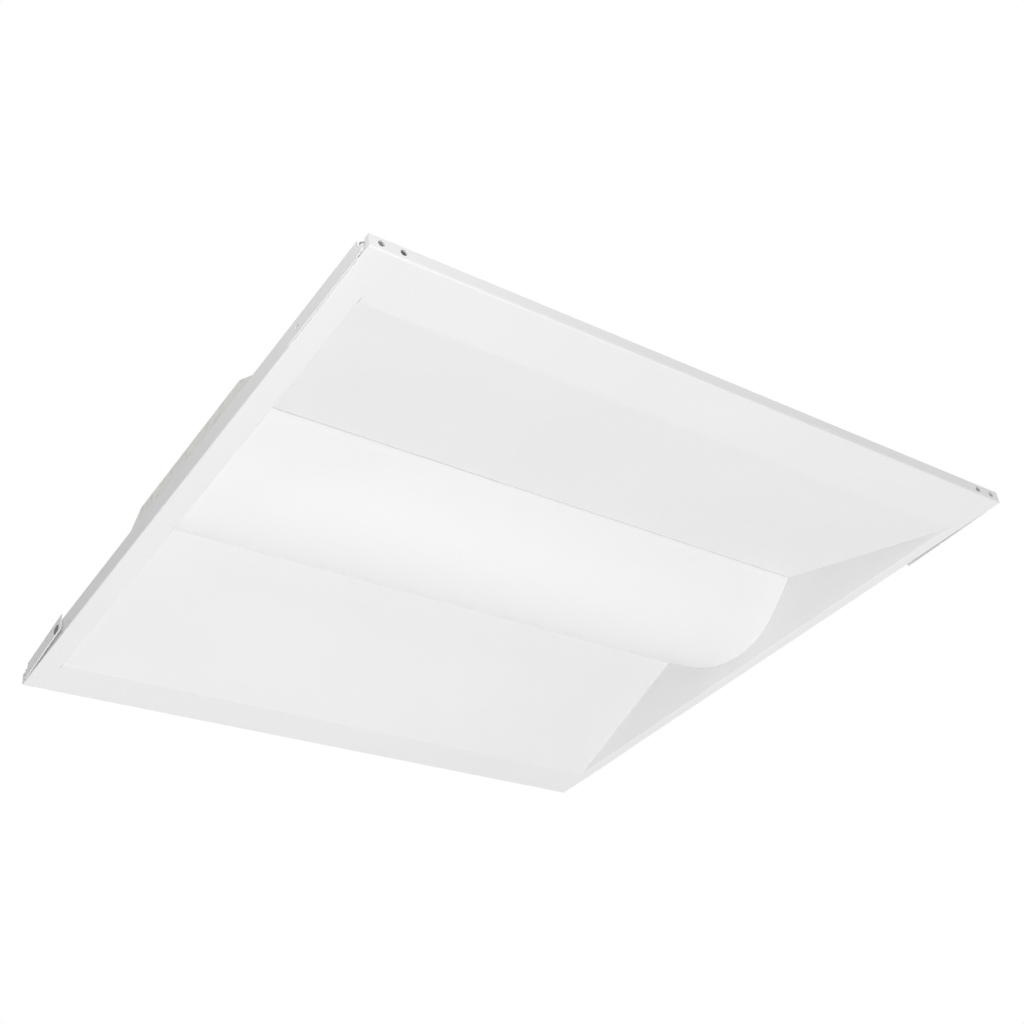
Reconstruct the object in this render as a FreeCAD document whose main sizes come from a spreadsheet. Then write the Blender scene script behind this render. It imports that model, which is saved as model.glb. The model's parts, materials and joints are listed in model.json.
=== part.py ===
"""Recessed troffer light for a lay-in ceiling grid of 2 ft by 2 ft.

Frame, in millimetres: the origin is the centre of the flange's underside, which rests on the
grid.  +X runs along the lens from the front end plate to the rear one, +Y runs from the left
reflector to the right one, and +Z points up into the ceiling space.
"""
import FreeCAD, Part
import math
import os
import Sketcher

SIZES = {
    # Outline of the fixture
    "fixture_side": 603.25,        # square flange that drops into the grid
    "steel_sheet": 0.8,            # painted housing sheet
    "front_strip": 19.0,           # flange strip of the front end plate
    "rear_strip": 11.6,            # flange strip of the rear end plate
    "end_lip": 16.5,               # upturned outer lip of an end plate
    "side_lip": 11.0,              # upturned outer lip of a reflector
    # Reflectors
    "side_band": 46.0,             # flat band between the outer lip and the crease
    "reflector_rise": 47.5,        # height of the reflector's inner edge
    "lens_opening": 175.0,         # between the two inner edges
    "inner_flange": 12.5,          # reflector flange under the channel
    "wall_lean": 7.4,              # lean of an end wall over the reflector's rise
    "wall_foot_half": 260.0,       # half width of an end wall at the flange
    "wall_edge": 3.0,              # end wall standing proud of the reflector's back
    # Channel over the lens
    "housing_height": 62.0,
    "channel_knee": 0.9,           # from the reflector's fold to the channel's bend
    "channel_slope": 0.532,        # fall of the channel's sides
    "channel_foot": 12.0,
    "channel_overhang": 4.8,       # of the channel past the end walls
    "channel_end_drop": 14.0,      # height of the channel's turned down ends
    "channel_end_half": 135.0,
    "end_flange": 10.0,            # end plate flange under the channel
    "end_flange_half": 68.0,
    "end_rivet_spacing": 45.0,
    # Lens
    "lens_radius": 107.5,
    "lens_low": 10.7,              # lowest point of the lens above the flange
    "lens_arc_half": 60.0,         # half width of the round part
    "lens_wall": 2.0,
    "lens_gap": 0.6,               # to the reflector edges and end walls
    "lens_leg_top": 54.0,
    "lens_clip_sheet": 0.6,
    "lens_clip_width": 15.0,
    "lens_clip_gap": 0.3,
    "lens_clip_drop": 10.6,        # length of a clip's spring leg
    "lens_clip_pitch": 150.0,
    # LED boards
    "board_end_gap": 2.8,          # between a board and the end plate's flange
    "board_width": 20.0,
    "board_thick": 1.6,
    "board_row": 44.0,             # row centre from the middle plane
    "board_joint": 4.0,            # between the two boards of a row
    "chip_side": 3.0,
    "chip_thick": 0.7,
    "chip_margin": 5.0,            # from a board's end to its first chip
    "plug_length": 10.0,
    "plug_inset": 1.0,             # plug from its board's end
    "plug_width": 8.0,
    "plug_height": 4.5,
    # Wires
    "wire_radius": 0.9,
    "wire_bend": 6.0,
    "wire_tight_bend": 3.6,
    "wire_spread": 1.4,            # each LED wire from the middle of its pair
    "terminal_spread": 4.2,        # the same at the driver's terminals
    "supply_spread": 3.0,          # each supply wire from the middle of its pair
    "wire_drop": 3.7,              # wires below the channel's underside
    "grommet_bore": 3.6,
    "grommet_neck": 5.5,
    "grommet_flange": 7.5,
    "grommet_lip": 1.2,
    "grommet_offset": 20.0,        # grommet from the middle plane
    # Driver box on the back
    "box_length": 420.0,
    "box_width": 120.0,
    "box_height": 33.0,
    "box_sheet": 0.8,
    "box_screw_end": 12.0,         # floor screws from the end walls
    "box_screw_side": 10.0,        # and from the side walls
    "cover_gap": 0.4,
    "cover_edge": 5.0,
    "cover_tab": 5.0,
    "cover_tab_half": 15.0,
    "knockout_radius": 11.1,
    "knockout_gap": 0.1,
    "knockout_spacing": 50.0,
    "knockout_height": 15.0,
    # Cover hinge
    "hinge_knuckle": 2.6,
    "hinge_pin": 1.2,
    "hinge_fit": 0.05,
    "hinge_gap": 0.3,
    "hinge_spacing": 300.0,
    "hinge_middle": 16.0,
    "hinge_outer": 8.0,
    "hinge_pin_end": 1.0,          # pin standing out of the last knuckle
    # Driver
    "driver_length": 230.0,
    "driver_width": 36.0,
    "driver_height": 26.0,
    "driver_sheet": 0.7,
    "driver_setback": 110.0,       # driver from the box's front end
    "driver_offset": -30.0,
    "driver_ear": 12.0,
    "driver_ear_width": 16.0,
    "driver_post": 6.0,
    "driver_board_gap": 0.3,
    "driver_board_lift": 4.0,
    "terminal_length": 16.0,
    "terminal_width": 22.0,
    "terminal_height": 12.0,
    "terminal_gap": 0.3,
    "transformer_length": 20.0,
    "transformer_width": 22.0,
    "transformer_height": 13.0,
    "coil_radius": 7.0,
    "coil_height": 2.0,
    "capacitor_radius": 6.5,
    "capacitor_height": 14.0,
    # Mains side
    "connector_setback": 18.0,     # connector from the box's front end
    "connector_length": 24.0,
    "connector_width": 18.0,
    "connector_height": 15.0,
    "connector_entry": 1.6,
    "connector_entry_depth": 8.0,
    "connector_entry_drop": 6.0,
    "ground_setback": 60.0,        # ground screw from the box's front end
    "ground_across": 24.0,
    "lug_radius": 4.6,
    "lug_tongue": 9.4,
    "lug_tongue_width": 3.6,
    # Fasteners
    "rivet_radius": 1.6,
    "rivet_head": 3.2,
    "rivet_head_thick": 0.9,
    "screw_radius": 1.7,
    "screw_head": 3.3,
    "screw_head_thick": 1.8,
    "fastener_fit": 0.05,
    # Grid clips and corner brackets
    "clip_sheet": 0.9,
    "clip_knuckle": 2.4,
    "clip_pin": 1.5,
    "clip_pin_head": 2.4,
    "clip_pin_head_thick": 1.0,
    "clip_fit": 0.05,
    "clip_gap": 0.15,              # between an arm and the lip behind it
    "clip_reach": 94.5,            # from the pin to the arm's tip
    "clip_root": 5.0,              # low part of an arm next to its pin
    "clip_low": 2.1,               # of a clip's roll
    "clip_arm_low": 0.9,
    "clip_tall": 13.4,
    "clip_ear_gap": 0.3,           # between a clip's roll and the bracket's ear
    "clip_hole": 2.4,
    "clip_hole_from_pin": 82.0,
    "clip_inset": 9.5,             # pin centre from the side lip's face
    "clip_notch": 4.5,             # half width of the lip's notch round the knuckle
    "bracket_sheet": 1.0,
    "bracket_leg": 38.0,
    "bracket_leg_tall": 9.0,
    "bracket_depth": 13.0,
    "bracket_floor": 34.0,
    "bracket_ear_top": 9.9,
    "lip_hole": 2.5,
    "lip_hole_height": 6.0,
    "corner_hole_inset": 9.0,      # first hole from the flange's end
    "lip_hole_inset": 25.3,        # second hole from the flange's end
}
OPEN_CLIP_ANGLE = -2.2             # degrees about +Z that two clips stand open
OPEN_CLIPS = (("front", "right"), ("rear", "left"))
CHIPS_PER_BOARD = 20
BOARD_SCREW_SHARES = (0.1, 0.5, 0.9)       # of a board's length
CAPACITOR_SHARES = (0.3, 0.4, 0.75)        # of the driver's length
TRANSFORMER_SHARE = 0.55
DRIVER_POST_SHARES = (0.2, 0.8)
CLIP_EYE_SHARE = 0.42                       # of an arm's height
SIDES = {"left": -1, "right": 1}
ENDS = {"front": -1, "rear": 1}

doc = FreeCAD.newDocument("troffer")
sheet = doc.addObject("Spreadsheet::Sheet", "Dimensions")
nodes = []


class Dim:
    """A length as a number, with the spreadsheet expression that gives it."""

    def __init__(self, value, text):
        self.value = float(value)
        self.text = text

    def __add__(self, other):
        other = dim(other)
        return Dim(self.value + other.value, f"({self.text} + {other.text})")

    def __sub__(self, other):
        other = dim(other)
        return Dim(self.value - other.value, f"({self.text} - {other.text})")

    def __mul__(self, other):
        other = dim(other)
        return Dim(self.value * other.value, f"({self.text} * {other.text})")

    def __truediv__(self, other):
        other = dim(other)
        return Dim(self.value / other.value, f"({self.text} / {other.text})")

    def __rsub__(self, other):
        return dim(other) - self

    def __neg__(self):
        return self * -1

    __radd__ = __add__
    __rmul__ = __mul__


def dim(number):
    return number if isinstance(number, Dim) else Dim(number, f"({float(number)!r})")


def root(length):
    return Dim(math.sqrt(length.value), f"sqrt({length.text})")


def size(alias):
    return Dim(SIZES[alias], f"Dimensions.{alias}")


def fill_sheet():
    for row, (alias, value) in enumerate(SIZES.items(), start=1):
        sheet.set(f"A{row}", alias)
        sheet.set(f"B{row}", str(value))
        sheet.setAlias(f"B{row}", alias)
    doc.recompute()


def span(sign, near, far):
    """The interval from near to far, counted outwards on the side that sign names."""
    return (dim(near), dim(far)) if sign > 0 else (-dim(far), -dim(near))


def about(centre, width):
    return (centre - width / 2, centre + width / 2)


def bind(obj, prop, length):
    obj.setExpression(prop, dim(length).text)


def put(obj, x, y, z):
    for axis, length in zip("xyz", (x, y, z)):
        bind(obj, f"Placement.Base.{axis}", length)
    return obj


def box(name, xs, ys, zs):
    obj = doc.addObject("Part::Box", name)
    for prop, (low, high) in zip(("Length", "Width", "Height"), (xs, ys, zs)):
        bind(obj, prop, dim(high) - low)
    return put(obj, xs[0], ys[0], zs[0])


AXES = {"X": (1, 0, 0), "Y": (0, 1, 0), "Z": (0, 0, 1)}


def cylinder(name, axis, start, radius, length):
    obj = doc.addObject("Part::Cylinder", name)
    turn = FreeCAD.Rotation(FreeCAD.Vector(0, 0, 1), FreeCAD.Vector(*AXES[axis]))
    obj.Placement = FreeCAD.Placement(FreeCAD.Vector(), turn)
    bind(obj, "Radius", radius)
    bind(obj, "Height", length)
    return put(obj, *start)


def sketch_line(sketch, start, end):
    first, last = (FreeCAD.Vector(a.value, b.value, 0) for a, b in (start, end))
    sketch.addGeometry(Part.LineSegment(first, last), False)


def sketch_arc(sketch, start, end, centre_height, turn):
    centre = FreeCAD.Vector(0, centre_height.value, 0)
    first, last = (start, end) if turn > 0 else (end, start)
    radius = math.hypot(first[0].value, first[1].value - centre.y)
    angles = [math.atan2(b.value - centre.y, a.value) for a, b in (first, last)]
    circle = Part.Circle(centre, FreeCAD.Vector(0, 0, 1), radius)
    sketch.addGeometry(Part.ArcOfCircle(circle, *angles), False)


def tie(sketch, kind, index, end, length):
    number = sketch.addConstraint(Sketcher.Constraint(kind, -1, 1, index, end, length.value))
    bind(sketch, f"Constraints[{number}]", length)


def prism(name, plane, outline, start, end, arcs=None):
    """A closed outline on one of the body's own planes, padded from start to end.

    Each corner of the outline is held by its two coordinates.  arcs maps the number of an
    outline's side to the height of its centre on the middle plane and its turning sense.
    """
    arcs = arcs or {}
    points = [(dim(a), dim(b)) for a, b in outline]
    body = doc.addObject("PartDesign::Body", name)
    sketch = body.newObject("Sketcher::SketchObject", name + "_outline")
    plane_object = [item for item in body.Origin.OriginFeatures if item.Role == plane][0]
    sketch.AttachmentSupport = [(plane_object, "")]
    sketch.MapMode = "FlatFace"
    count = len(points)
    for index, point in enumerate(points):
        following = points[(index + 1) % count]
        if index in arcs:
            sketch_arc(sketch, point, following, *arcs[index])
        else:
            sketch_line(sketch, point, following)
    for index, point in enumerate(points):
        before = (index - 1) % count
        begins = 2 if index in arcs and arcs[index][1] < 0 else 1
        ends = 1 if before in arcs and arcs[before][1] < 0 else 2
        sketch.addConstraint(Sketcher.Constraint("Coincident", before, ends, index, begins))
        tie(sketch, "DistanceX", index, begins, point[0])
        tie(sketch, "DistanceY", index, begins, point[1])
    for index, (centre_height, _) in arcs.items():
        tie(sketch, "DistanceY", index, 3, centre_height)
    pad = body.newObject("PartDesign::Pad", name + "_pad")
    pad.Profile = sketch
    bind(pad, "Length", dim(end) - start)
    if plane == "YZ_Plane":
        return put(body, start, 0, 0)
    if plane == "XZ_Plane":
        return put(body, 0, end, 0)
    return put(body, 0, 0, start)


def fuse(name, pieces):
    obj = doc.addObject("Part::MultiFuse", name)
    obj.Shapes = pieces
    return obj


def gather(name, pieces):
    obj = doc.addObject("Part::Compound", name)
    obj.Links = pieces
    return obj


def cut(name, base, tools):
    obj = doc.addObject("Part::Cut", name)
    obj.Base = base
    obj.Tool = tools[0] if len(tools) == 1 else gather(name + "_tools", tools)
    return obj


def common(name, first, second):
    obj = doc.addObject("Part::Common", name)
    obj.Base = first
    obj.Tool = second
    return obj


def keep(obj):
    """Marks an object as a sub-part: its label is the node's name."""
    nodes.append(obj)
    return obj


def shape_node(name, shapes):
    obj = doc.addObject("Part::Feature", name)
    obj.Shape = shapes[0] if len(shapes) == 1 else Part.makeCompound(shapes)
    return keep(obj)


fill_sheet()

# ---------------------------------------------------------------- levels and lines
half = size("fixture_side") / 2
steel = size("steel_sheet")
strips = {"front": size("front_strip"), "rear": size("rear_strip")}
rise = size("reflector_rise")
opening_half = size("lens_opening") / 2
crease = half - size("side_band")
reflector_slope = rise / (crease - opening_half)
reflector_back = steel * root(1 + reflector_slope * reflector_slope)
lean = size("wall_lean") / rise
wall_thick = steel * root(1 + lean * lean)
channel_top = size("housing_height")
channel_under = channel_top - steel
feet = {end: half - strips[end] for end in ENDS}
overlap = 1.0                      # how far a cutting solid reaches past what it cuts


def wall_inner(end, height):
    """Distance of an end wall's inner face from the origin, at a height."""
    return feet[end] - lean * height


def reflector_top(across):
    """Height of the reflector's back at a distance from the middle plane."""
    return (crease - across) * reflector_slope + reflector_back


# Channel section, worked out once for the channel and for the end walls under it.
knee = opening_half + steel + size("channel_knee")
side_slope = size("channel_slope")
side_thick = steel * root(1 + side_slope * side_slope)
slope_change = side_slope - reflector_slope
knee_reflector = (crease - knee) * reflector_slope
foot_inner = knee + (channel_top - side_thick - reflector_back - knee_reflector) / slope_change
foot_outer = knee + (channel_top - reflector_back * 2 - knee_reflector) / slope_change
foot_end = foot_inner + size("channel_foot")
knee_under = knee + (steel - side_thick) / side_slope


def mirrored(points):
    """A closed outline from its right half, listed from the top to the bottom."""
    return points + [(-dim(a), b) for a, b in reversed(points)]


# ---------------------------------------------------------------- fastener places
lens_ends = {end: wall_inner(end, size("lens_leg_top")) - size("lens_gap") for end in ENDS}
lens_middle = (lens_ends["rear"] - lens_ends["front"]) / 2
flange_rivet_across = opening_half - size("inner_flange") * 0.6
clip_rivet_spots = [(lens_middle + size("lens_clip_pitch") * step, flange_rivet_across * side)
                    for side in SIDES.values() for step in (-1.5, -0.5, 0.5, 1.5)]
end_flange_inner = {end: wall_inner(end, channel_under) - size("end_flange") for end in ENDS}
end_rivet_spots = [(ENDS[end] * (end_flange_inner[end] + size("end_flange") / 2),
                    size("end_rivet_spacing") * step) for end in ENDS for step in (-1, 0, 1)]
board_reach = (end_flange_inner["rear"] + end_flange_inner["front"]) / 2
board_length = board_reach - size("board_end_gap") - size("board_joint") / 2
board_starts = {"front": lens_middle - size("board_joint") / 2 - board_length,
                "rear": lens_middle + size("board_joint") / 2}
board_screw_spots = {(end, side): [(board_starts[end] + board_length * share,
                                    size("board_row") * SIDES[side])
                                   for share in BOARD_SCREW_SHARES]
                     for end in ENDS for side in SIDES}
box_half = size("box_length") / 2
box_half_width = size("box_width") / 2
box_floor_top = channel_top + size("box_sheet")
box_top = channel_top + size("box_height")
box_screw_spots = [((box_half - size("box_screw_end")) * along,
                    (box_half_width - size("box_screw_side")) * across)
                   for along in (-1, 1) for across in (-1, 1)]
grommet_spot = (lens_middle, size("grommet_offset"))
driver_start = size("driver_setback") - box_half
driver_end = driver_start + size("driver_length")
connector_start = size("connector_setback") - box_half
driver_screw_spots = [(driver_start - size("driver_ear") / 2, size("driver_offset")),
                      (driver_end + size("driver_ear") / 2, size("driver_offset"))]
ground_spot = (size("ground_setback") - box_half, size("ground_across"))


def holes(name, spots, radius, low, high):
    """Upright cylinders that drill a set of holes."""
    fit = radius + size("fastener_fit")
    depth = high - low + 2 * overlap
    return [cylinder(f"{name}_hole_{number}", "Z", (x, y, low - overlap), fit, depth)
            for number, (x, y) in enumerate(spots)]


# ---------------------------------------------------------------- housing
def end_plate(end):
    sign = ENDS[end]
    name = f"{end}_end_plate"
    foot = feet[end]
    lip = [(foot, 0), (half, 0), (half, size("end_lip")), (half - steel, size("end_lip")),
           (half - steel, steel), (foot, steel)]
    leaning = [(foot, 0), (wall_inner(end, channel_under), channel_under),
               (wall_inner(end, channel_under) + wall_thick, channel_under), (foot + wall_thick, 0)]
    flange = prism(f"{name}_flange", "XZ_Plane", [(sign * a, b) for a, b in lip], -half, half)
    slab = prism(f"{name}_slab", "XZ_Plane", [(sign * a, b) for a, b in leaning], -half, half)
    edge = foot_end + size("lens_gap")
    outline = mirrored([(knee_under, channel_under),
                        (foot_inner, reflector_top(foot_inner)),
                        (edge, reflector_top(edge)),
                        (edge, reflector_top(edge) + size("wall_edge")),
                        (size("wall_foot_half"), size("wall_edge") + 2 * steel),
                        (size("wall_foot_half"), 0)])
    reach = span(sign, wall_inner(end, channel_under) - overlap, foot + wall_thick + overlap)
    window = prism(f"{name}_window", "YZ_Plane", outline, *reach)
    wall = common(f"{name}_wall", slab, window)
    inward = wall_inner(end, channel_under)
    top = box(f"{name}_top", span(sign, inward - size("end_flange"), inward + wall_thick / 2),
              (-size("end_flange_half"), size("end_flange_half")), (channel_under - steel, channel_under))
    solid = fuse(f"{name}_solid", [flange, wall, top])
    pin_across = half - size("clip_inset")
    lip_depth = span(sign, half - steel - overlap, half + overlap)
    lip_end = size("end_lip") + overlap
    notches = []
    for side, sy in SIDES.items():
        for cut_name, ys, zs in (
                ("notch", (pin_across - size("clip_notch"), pin_across + size("clip_notch")),
                 (steel, lip_end)),
                ("corner", (half - steel, half + overlap), (steel, lip_end)),
                ("step", (pin_across, half + overlap), (size("side_lip"), lip_end))):
            notches.append(box(f"{name}_{cut_name}_{side}", lip_depth, span(sy, *ys), zs))
    spots = [spot for spot in end_rivet_spots if spot[0].value * sign > 0]
    drills = holes(name, spots, size("rivet_radius"), channel_under - steel, channel_under)
    keep(cut(name, solid, notches + drills))


def side_reflector(side):
    sign = SIDES[side]
    name = f"{side}_reflector"
    under_flange = channel_under - steel
    outline = [(half, 0), (half, size("side_lip")), (half - steel, size("side_lip")),
               (half - steel, steel), (crease + (reflector_back - steel) / reflector_slope, steel),
               (opening_half + steel, reflector_top(opening_half + steel)),
               (opening_half + steel, channel_under),
               (opening_half - size("inner_flange"), channel_under),
               (opening_half - size("inner_flange"), under_flange),
               (opening_half, under_flange), (opening_half, rise), (crease, 0)]
    sheet_metal = prism(f"{name}_sheet", "YZ_Plane", [(sign * a, b) for a, b in outline],
                        -half, half)
    between_walls = cut(f"{name}_between_walls", sheet_metal, end_trims(name, 0))
    lip = box(f"{name}_lip", (-half, half), span(sign, half - steel, half),
              (steel, size("side_lip")))
    solid = fuse(f"{name}_solid", [between_walls, lip])
    spots = [spot for spot in clip_rivet_spots if spot[1].value * sign > 0]
    drills = holes(name, spots, size("rivet_radius"), under_flange, channel_under)
    drills += [hole(name, end, side) for end in ENDS for hole in (lip_hole, corner_hole)]
    keep(cut(name, solid, drills))


def end_trims(name, clearance):
    """Cutting solids that end a long section at the leaning faces of the end walls."""
    tall = channel_top + overlap
    trims = []
    for end, along in ENDS.items():
        low, high = (wall_inner(end, level) - clearance for level in (-overlap, tall))
        outside = [(low, -overlap), (half + overlap, -overlap), (half + overlap, tall), (high, tall)]
        trims.append(prism(f"{name}_{end}_trim", "XZ_Plane", [(along * a, b) for a, b in outside],
                           -half - overlap, half + overlap))
    return trims


def side_hole(name, end, side, inset):
    """A hole across the light through a side lip, at a distance from the flange's end."""
    start = (ENDS[end] * (half - inset), SIDES[side] * half - 4 * steel, size("lip_hole_height"))
    return cylinder(f"{name}_{end}_hole", "Y", start, size("lip_hole"), 8 * steel)


def lip_hole(name, end, side):
    """The hole through a reflector's lip and the bracket behind it."""
    return side_hole(f"{name}_lip", end, side, size("lip_hole_inset"))


def corner_hole(name, end, side):
    """The hole by the very corner, through the same two sheets."""
    return side_hole(f"{name}_corner", end, side, size("corner_hole_inset"))


def corner_bracket(end, side):
    """Bent bracket in a corner: it joins the two lips and carries a grid clip's pin."""
    sx, sy = ENDS[end], SIDES[side]
    name = f"corner_bracket_{end}_{side}"
    thick = size("bracket_sheet")
    outer = half - steel
    floor_level = (steel, steel + thick)
    leg_level = (steel, steel + size("bracket_leg_tall"))
    inner = outer - size("bracket_depth")
    knuckle_end = half - size("clip_inset") - size("clip_notch")
    ear_top = size("bracket_ear_top")
    floor = box(f"{name}_floor", span(sx, outer - size("bracket_leg"), outer),
                span(sy, outer - size("bracket_floor"), outer), floor_level)
    side_leg = box(f"{name}_side_leg", span(sx, outer - size("bracket_leg"), outer),
                   span(sy, outer - thick, outer), leg_level)
    end_leg = box(f"{name}_end_leg", span(sx, outer - thick, outer),
                  span(sy, outer - size("bracket_floor"), knuckle_end), leg_level)
    web = box(f"{name}_web", span(sx, inner, inner + thick), span(sy, inner, outer), (steel, ear_top))
    ear = box(f"{name}_ear", span(sx, inner, outer), span(sy, inner, outer), (ear_top - thick, ear_top))
    solid = fuse(f"{name}_solid", [floor, side_leg, end_leg, web, ear])
    pin_hole = cylinder(f"{name}_pin_hole", "Z", (*pin_place(sx, sy), ear_top - 2 * thick),
                        size("clip_pin") + size("clip_fit"), 3 * thick)
    keep(cut(name, solid, [pin_hole, lip_hole(name, end, side), corner_hole(name, end, side)]))


def pin_place(sx, sy):
    """Centre of a grid clip's pin, for the corner with these signs."""
    out = half + size("clip_gap") + size("clip_sheet") - size("clip_knuckle")
    return (sx * out, sy * (half - size("clip_inset")))


def grid_clip(end, side, angle):
    """Arm on an upright pin.  It lies along the end lip and swings out over the grid.

    Its first few millimetres are as low as its roll, so that they pass under the bracket's ear.
    """
    sx, sy = ENDS[end], SIDES[side]
    name = f"grid_clip_{end}_{side}"
    knuckle = size("clip_knuckle")
    thick = size("clip_sheet")
    low = size("clip_low")
    roll_top = size("bracket_ear_top") - size("bracket_sheet") - size("clip_ear_gap")
    face = span(sx, knuckle - thick, knuckle)
    root_piece = box(f"{name}_root", face, span(-sy, 0, size("clip_root")), (low, roll_top))
    arm_low = size("clip_arm_low")
    arm = box(f"{name}_arm", face, span(-sy, size("clip_root"), size("clip_reach")),
              (arm_low, arm_low + size("clip_tall")))
    roll = cylinder(f"{name}_roll", "Z", (0, 0, low), knuckle, roll_top - low)
    solid = fuse(f"{name}_solid", [root_piece, arm, roll])
    bore = cylinder(f"{name}_bore", "Z", (0, 0, low - overlap),
                    size("clip_pin") + size("clip_fit"), roll_top - low + 2 * overlap)
    eye = cylinder(f"{name}_eye", "X", (-2 * knuckle, -sy * size("clip_hole_from_pin"),
                                        arm_low + size("clip_tall") * CLIP_EYE_SHARE),
                   size("clip_hole"), 4 * knuckle)
    clip = cut(name, solid, [bore, eye])
    turn = FreeCAD.Rotation(FreeCAD.Vector(0, 0, 1), angle)
    clip.Placement = FreeCAD.Placement(FreeCAD.Vector(), turn)
    x, y = pin_place(sx, sy)
    keep(put(clip, x, y, 0))


def clip_pins():
    pieces = []
    base = steel + size("bracket_sheet")
    ear_top = size("bracket_ear_top")
    for end, sx in ENDS.items():
        for side, sy in SIDES.items():
            name = f"clip_pin_{end}_{side}"
            x, y = pin_place(sx, sy)
            shank = cylinder(f"{name}_shank", "Z", (x, y, base), size("clip_pin"),
                             ear_top - base + size("clip_pin_head_thick") / 2)
            head = cylinder(f"{name}_head", "Z", (x, y, ear_top), size("clip_pin_head"),
                            size("clip_pin_head_thick"))
            pieces.append(fuse(name, [shank, head]))
    keep(gather("clip_pins", pieces))


def centre_channel():
    section = mirrored([(knee, channel_top),
                        (foot_outer, reflector_top(foot_outer) + reflector_back),
                        (foot_end, reflector_top(foot_end) + reflector_back),
                        (foot_end, reflector_top(foot_end)),
                        (foot_inner, reflector_top(foot_inner)),
                        (knee_under, channel_under)])
    foot_height = reflector_top(foot_end)
    beyond = wall_thick + size("channel_overhang")
    start = -(wall_inner("front", foot_height) + beyond)
    stop = wall_inner("rear", foot_height) + beyond
    sheet_metal = prism("centre_channel_sheet", "YZ_Plane", section, start, stop)
    end_half = size("channel_end_half")
    side_level = channel_top - (end_half - knee) * side_slope
    drop = size("channel_end_drop")
    turned = mirrored([(knee, channel_top), (end_half, side_level), (end_half, side_level - drop),
                       (knee, channel_top - drop)])
    ends = [prism("centre_channel_front_end", "YZ_Plane", turned, start, start + steel),
            prism("centre_channel_rear_end", "YZ_Plane", turned, stop - steel, stop)]
    metal = fuse("centre_channel_metal", [sheet_metal] + ends)
    level = (channel_under, channel_top)
    drills = holes("channel_clip", clip_rivet_spots, size("rivet_radius"), *level)
    drills += holes("channel_end", end_rivet_spots, size("rivet_radius"), *level)
    drills += holes("channel_box", box_screw_spots, size("screw_radius"), *level)
    drills += holes("channel_driver", driver_screw_spots, size("screw_radius"), *level)
    drills += holes("channel_ground", [ground_spot], size("screw_radius"), *level)
    drills += holes("channel_grommet", [grommet_spot], size("grommet_neck"), *level)
    for key, spots in board_screw_spots.items():
        drills += holes("channel_board_" + "_".join(key), spots, size("screw_radius"), *level)
    keep(cut("centre_channel", metal, drills))


def fasteners(name, spots, radius, head, thick, low, high, heads):
    """Shanks between two levels, with a head at the bottom, the top or both."""
    pieces = []
    for number, (x, y) in enumerate(spots):
        parts = [cylinder(f"{name}_{number}_shank", "Z", (x, y, low), radius, high - low)]
        if "low" in heads:
            parts.append(cylinder(f"{name}_{number}_low", "Z", (x, y, low - thick), head, thick))
        if "high" in heads:
            parts.append(cylinder(f"{name}_{number}_high", "Z", (x, y, high), head, thick))
        pieces.append(fuse(f"{name}_{number}", parts))
    keep(gather(name, pieces))


def housing_fasteners():
    rivet = (size("rivet_radius"), size("rivet_head"), size("rivet_head_thick"))
    screw = (size("screw_radius"), size("screw_head"), size("screw_head_thick"))
    clip_under = channel_under - steel - size("lens_clip_sheet")
    both = ("low", "high")
    fasteners("channel_rivets", clip_rivet_spots, *rivet, clip_under, channel_top, both)
    fasteners("end_plate_rivets", end_rivet_spots, *rivet, channel_under - steel, channel_top, both)
    board_under = channel_under - size("board_thick")
    spots = [spot for group in board_screw_spots.values() for spot in group]
    fasteners("board_screws", spots, *screw, board_under, channel_top, ("low",))
    fasteners("box_screws", box_screw_spots, *screw, channel_under, box_floor_top, ("high",))
    ear_top = box_floor_top + size("driver_sheet")
    fasteners("driver_screws", driver_screw_spots, *screw, channel_under, ear_top, ("high",))
    lug_top = box_floor_top + size("driver_sheet")
    fasteners("ground_screw", [ground_spot], *screw, channel_under, lug_top, ("high",))


# ---------------------------------------------------------------- lens
lens_edge = opening_half - size("lens_gap")


def lens():
    radius = size("lens_radius")
    wall = size("lens_wall")
    arc_half = size("lens_arc_half")
    drop = root(radius * radius - arc_half * arc_half)
    centre = size("lens_low") + radius
    slope = arc_half / drop
    arc_end = centre - drop
    flank_top = arc_end + (lens_edge - arc_half) * slope
    shrink = 1 - wall / radius
    flank_back = wall * root(1 + slope * slope)
    leg_inner = lens_edge - wall
    leg_foot = arc_end + (leg_inner - arc_half) * slope + flank_back
    right = [(arc_half, arc_end), (lens_edge, flank_top), (lens_edge, size("lens_leg_top")),
             (leg_inner, size("lens_leg_top")), (leg_inner, leg_foot),
             (arc_half * shrink, centre - drop * shrink)]
    left = [(-a, b) for a, b in reversed(right)]
    last = len(right) - 1
    arcs = {last: (centre, -1), 2 * len(right) - 1: (centre, 1)}
    section = prism("lens_section", "YZ_Plane", right + left, -feet["front"], feet["rear"], arcs)
    keep(cut("lens", section, end_trims("lens", size("lens_gap"))))


def lens_clips():
    """Spring clips under the reflector flanges.  Their legs press the lens's legs outwards."""
    thick = size("lens_clip_sheet")
    top = channel_under - steel
    leg_face = lens_edge - size("lens_wall") - size("lens_clip_gap")
    pieces = []
    for number, (x, y) in enumerate(clip_rivet_spots):
        side = 1 if y.value > 0 else -1
        name = f"lens_clip_{number}"
        along = about(x, size("lens_clip_width"))
        foot = box(f"{name}_foot", along, span(side, opening_half - size("inner_flange"), leg_face),
                   (top - thick, top))
        leg = box(f"{name}_leg", along, span(side, leg_face - thick, leg_face),
                  (top - size("lens_clip_drop"), top))
        solid = fuse(f"{name}_solid", [foot, leg])
        drill = holes(name, [(x, y)], size("rivet_radius"), top - thick, top)
        pieces.append(cut(name, solid, drill))
    keep(gather("lens_clips", pieces))


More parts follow.
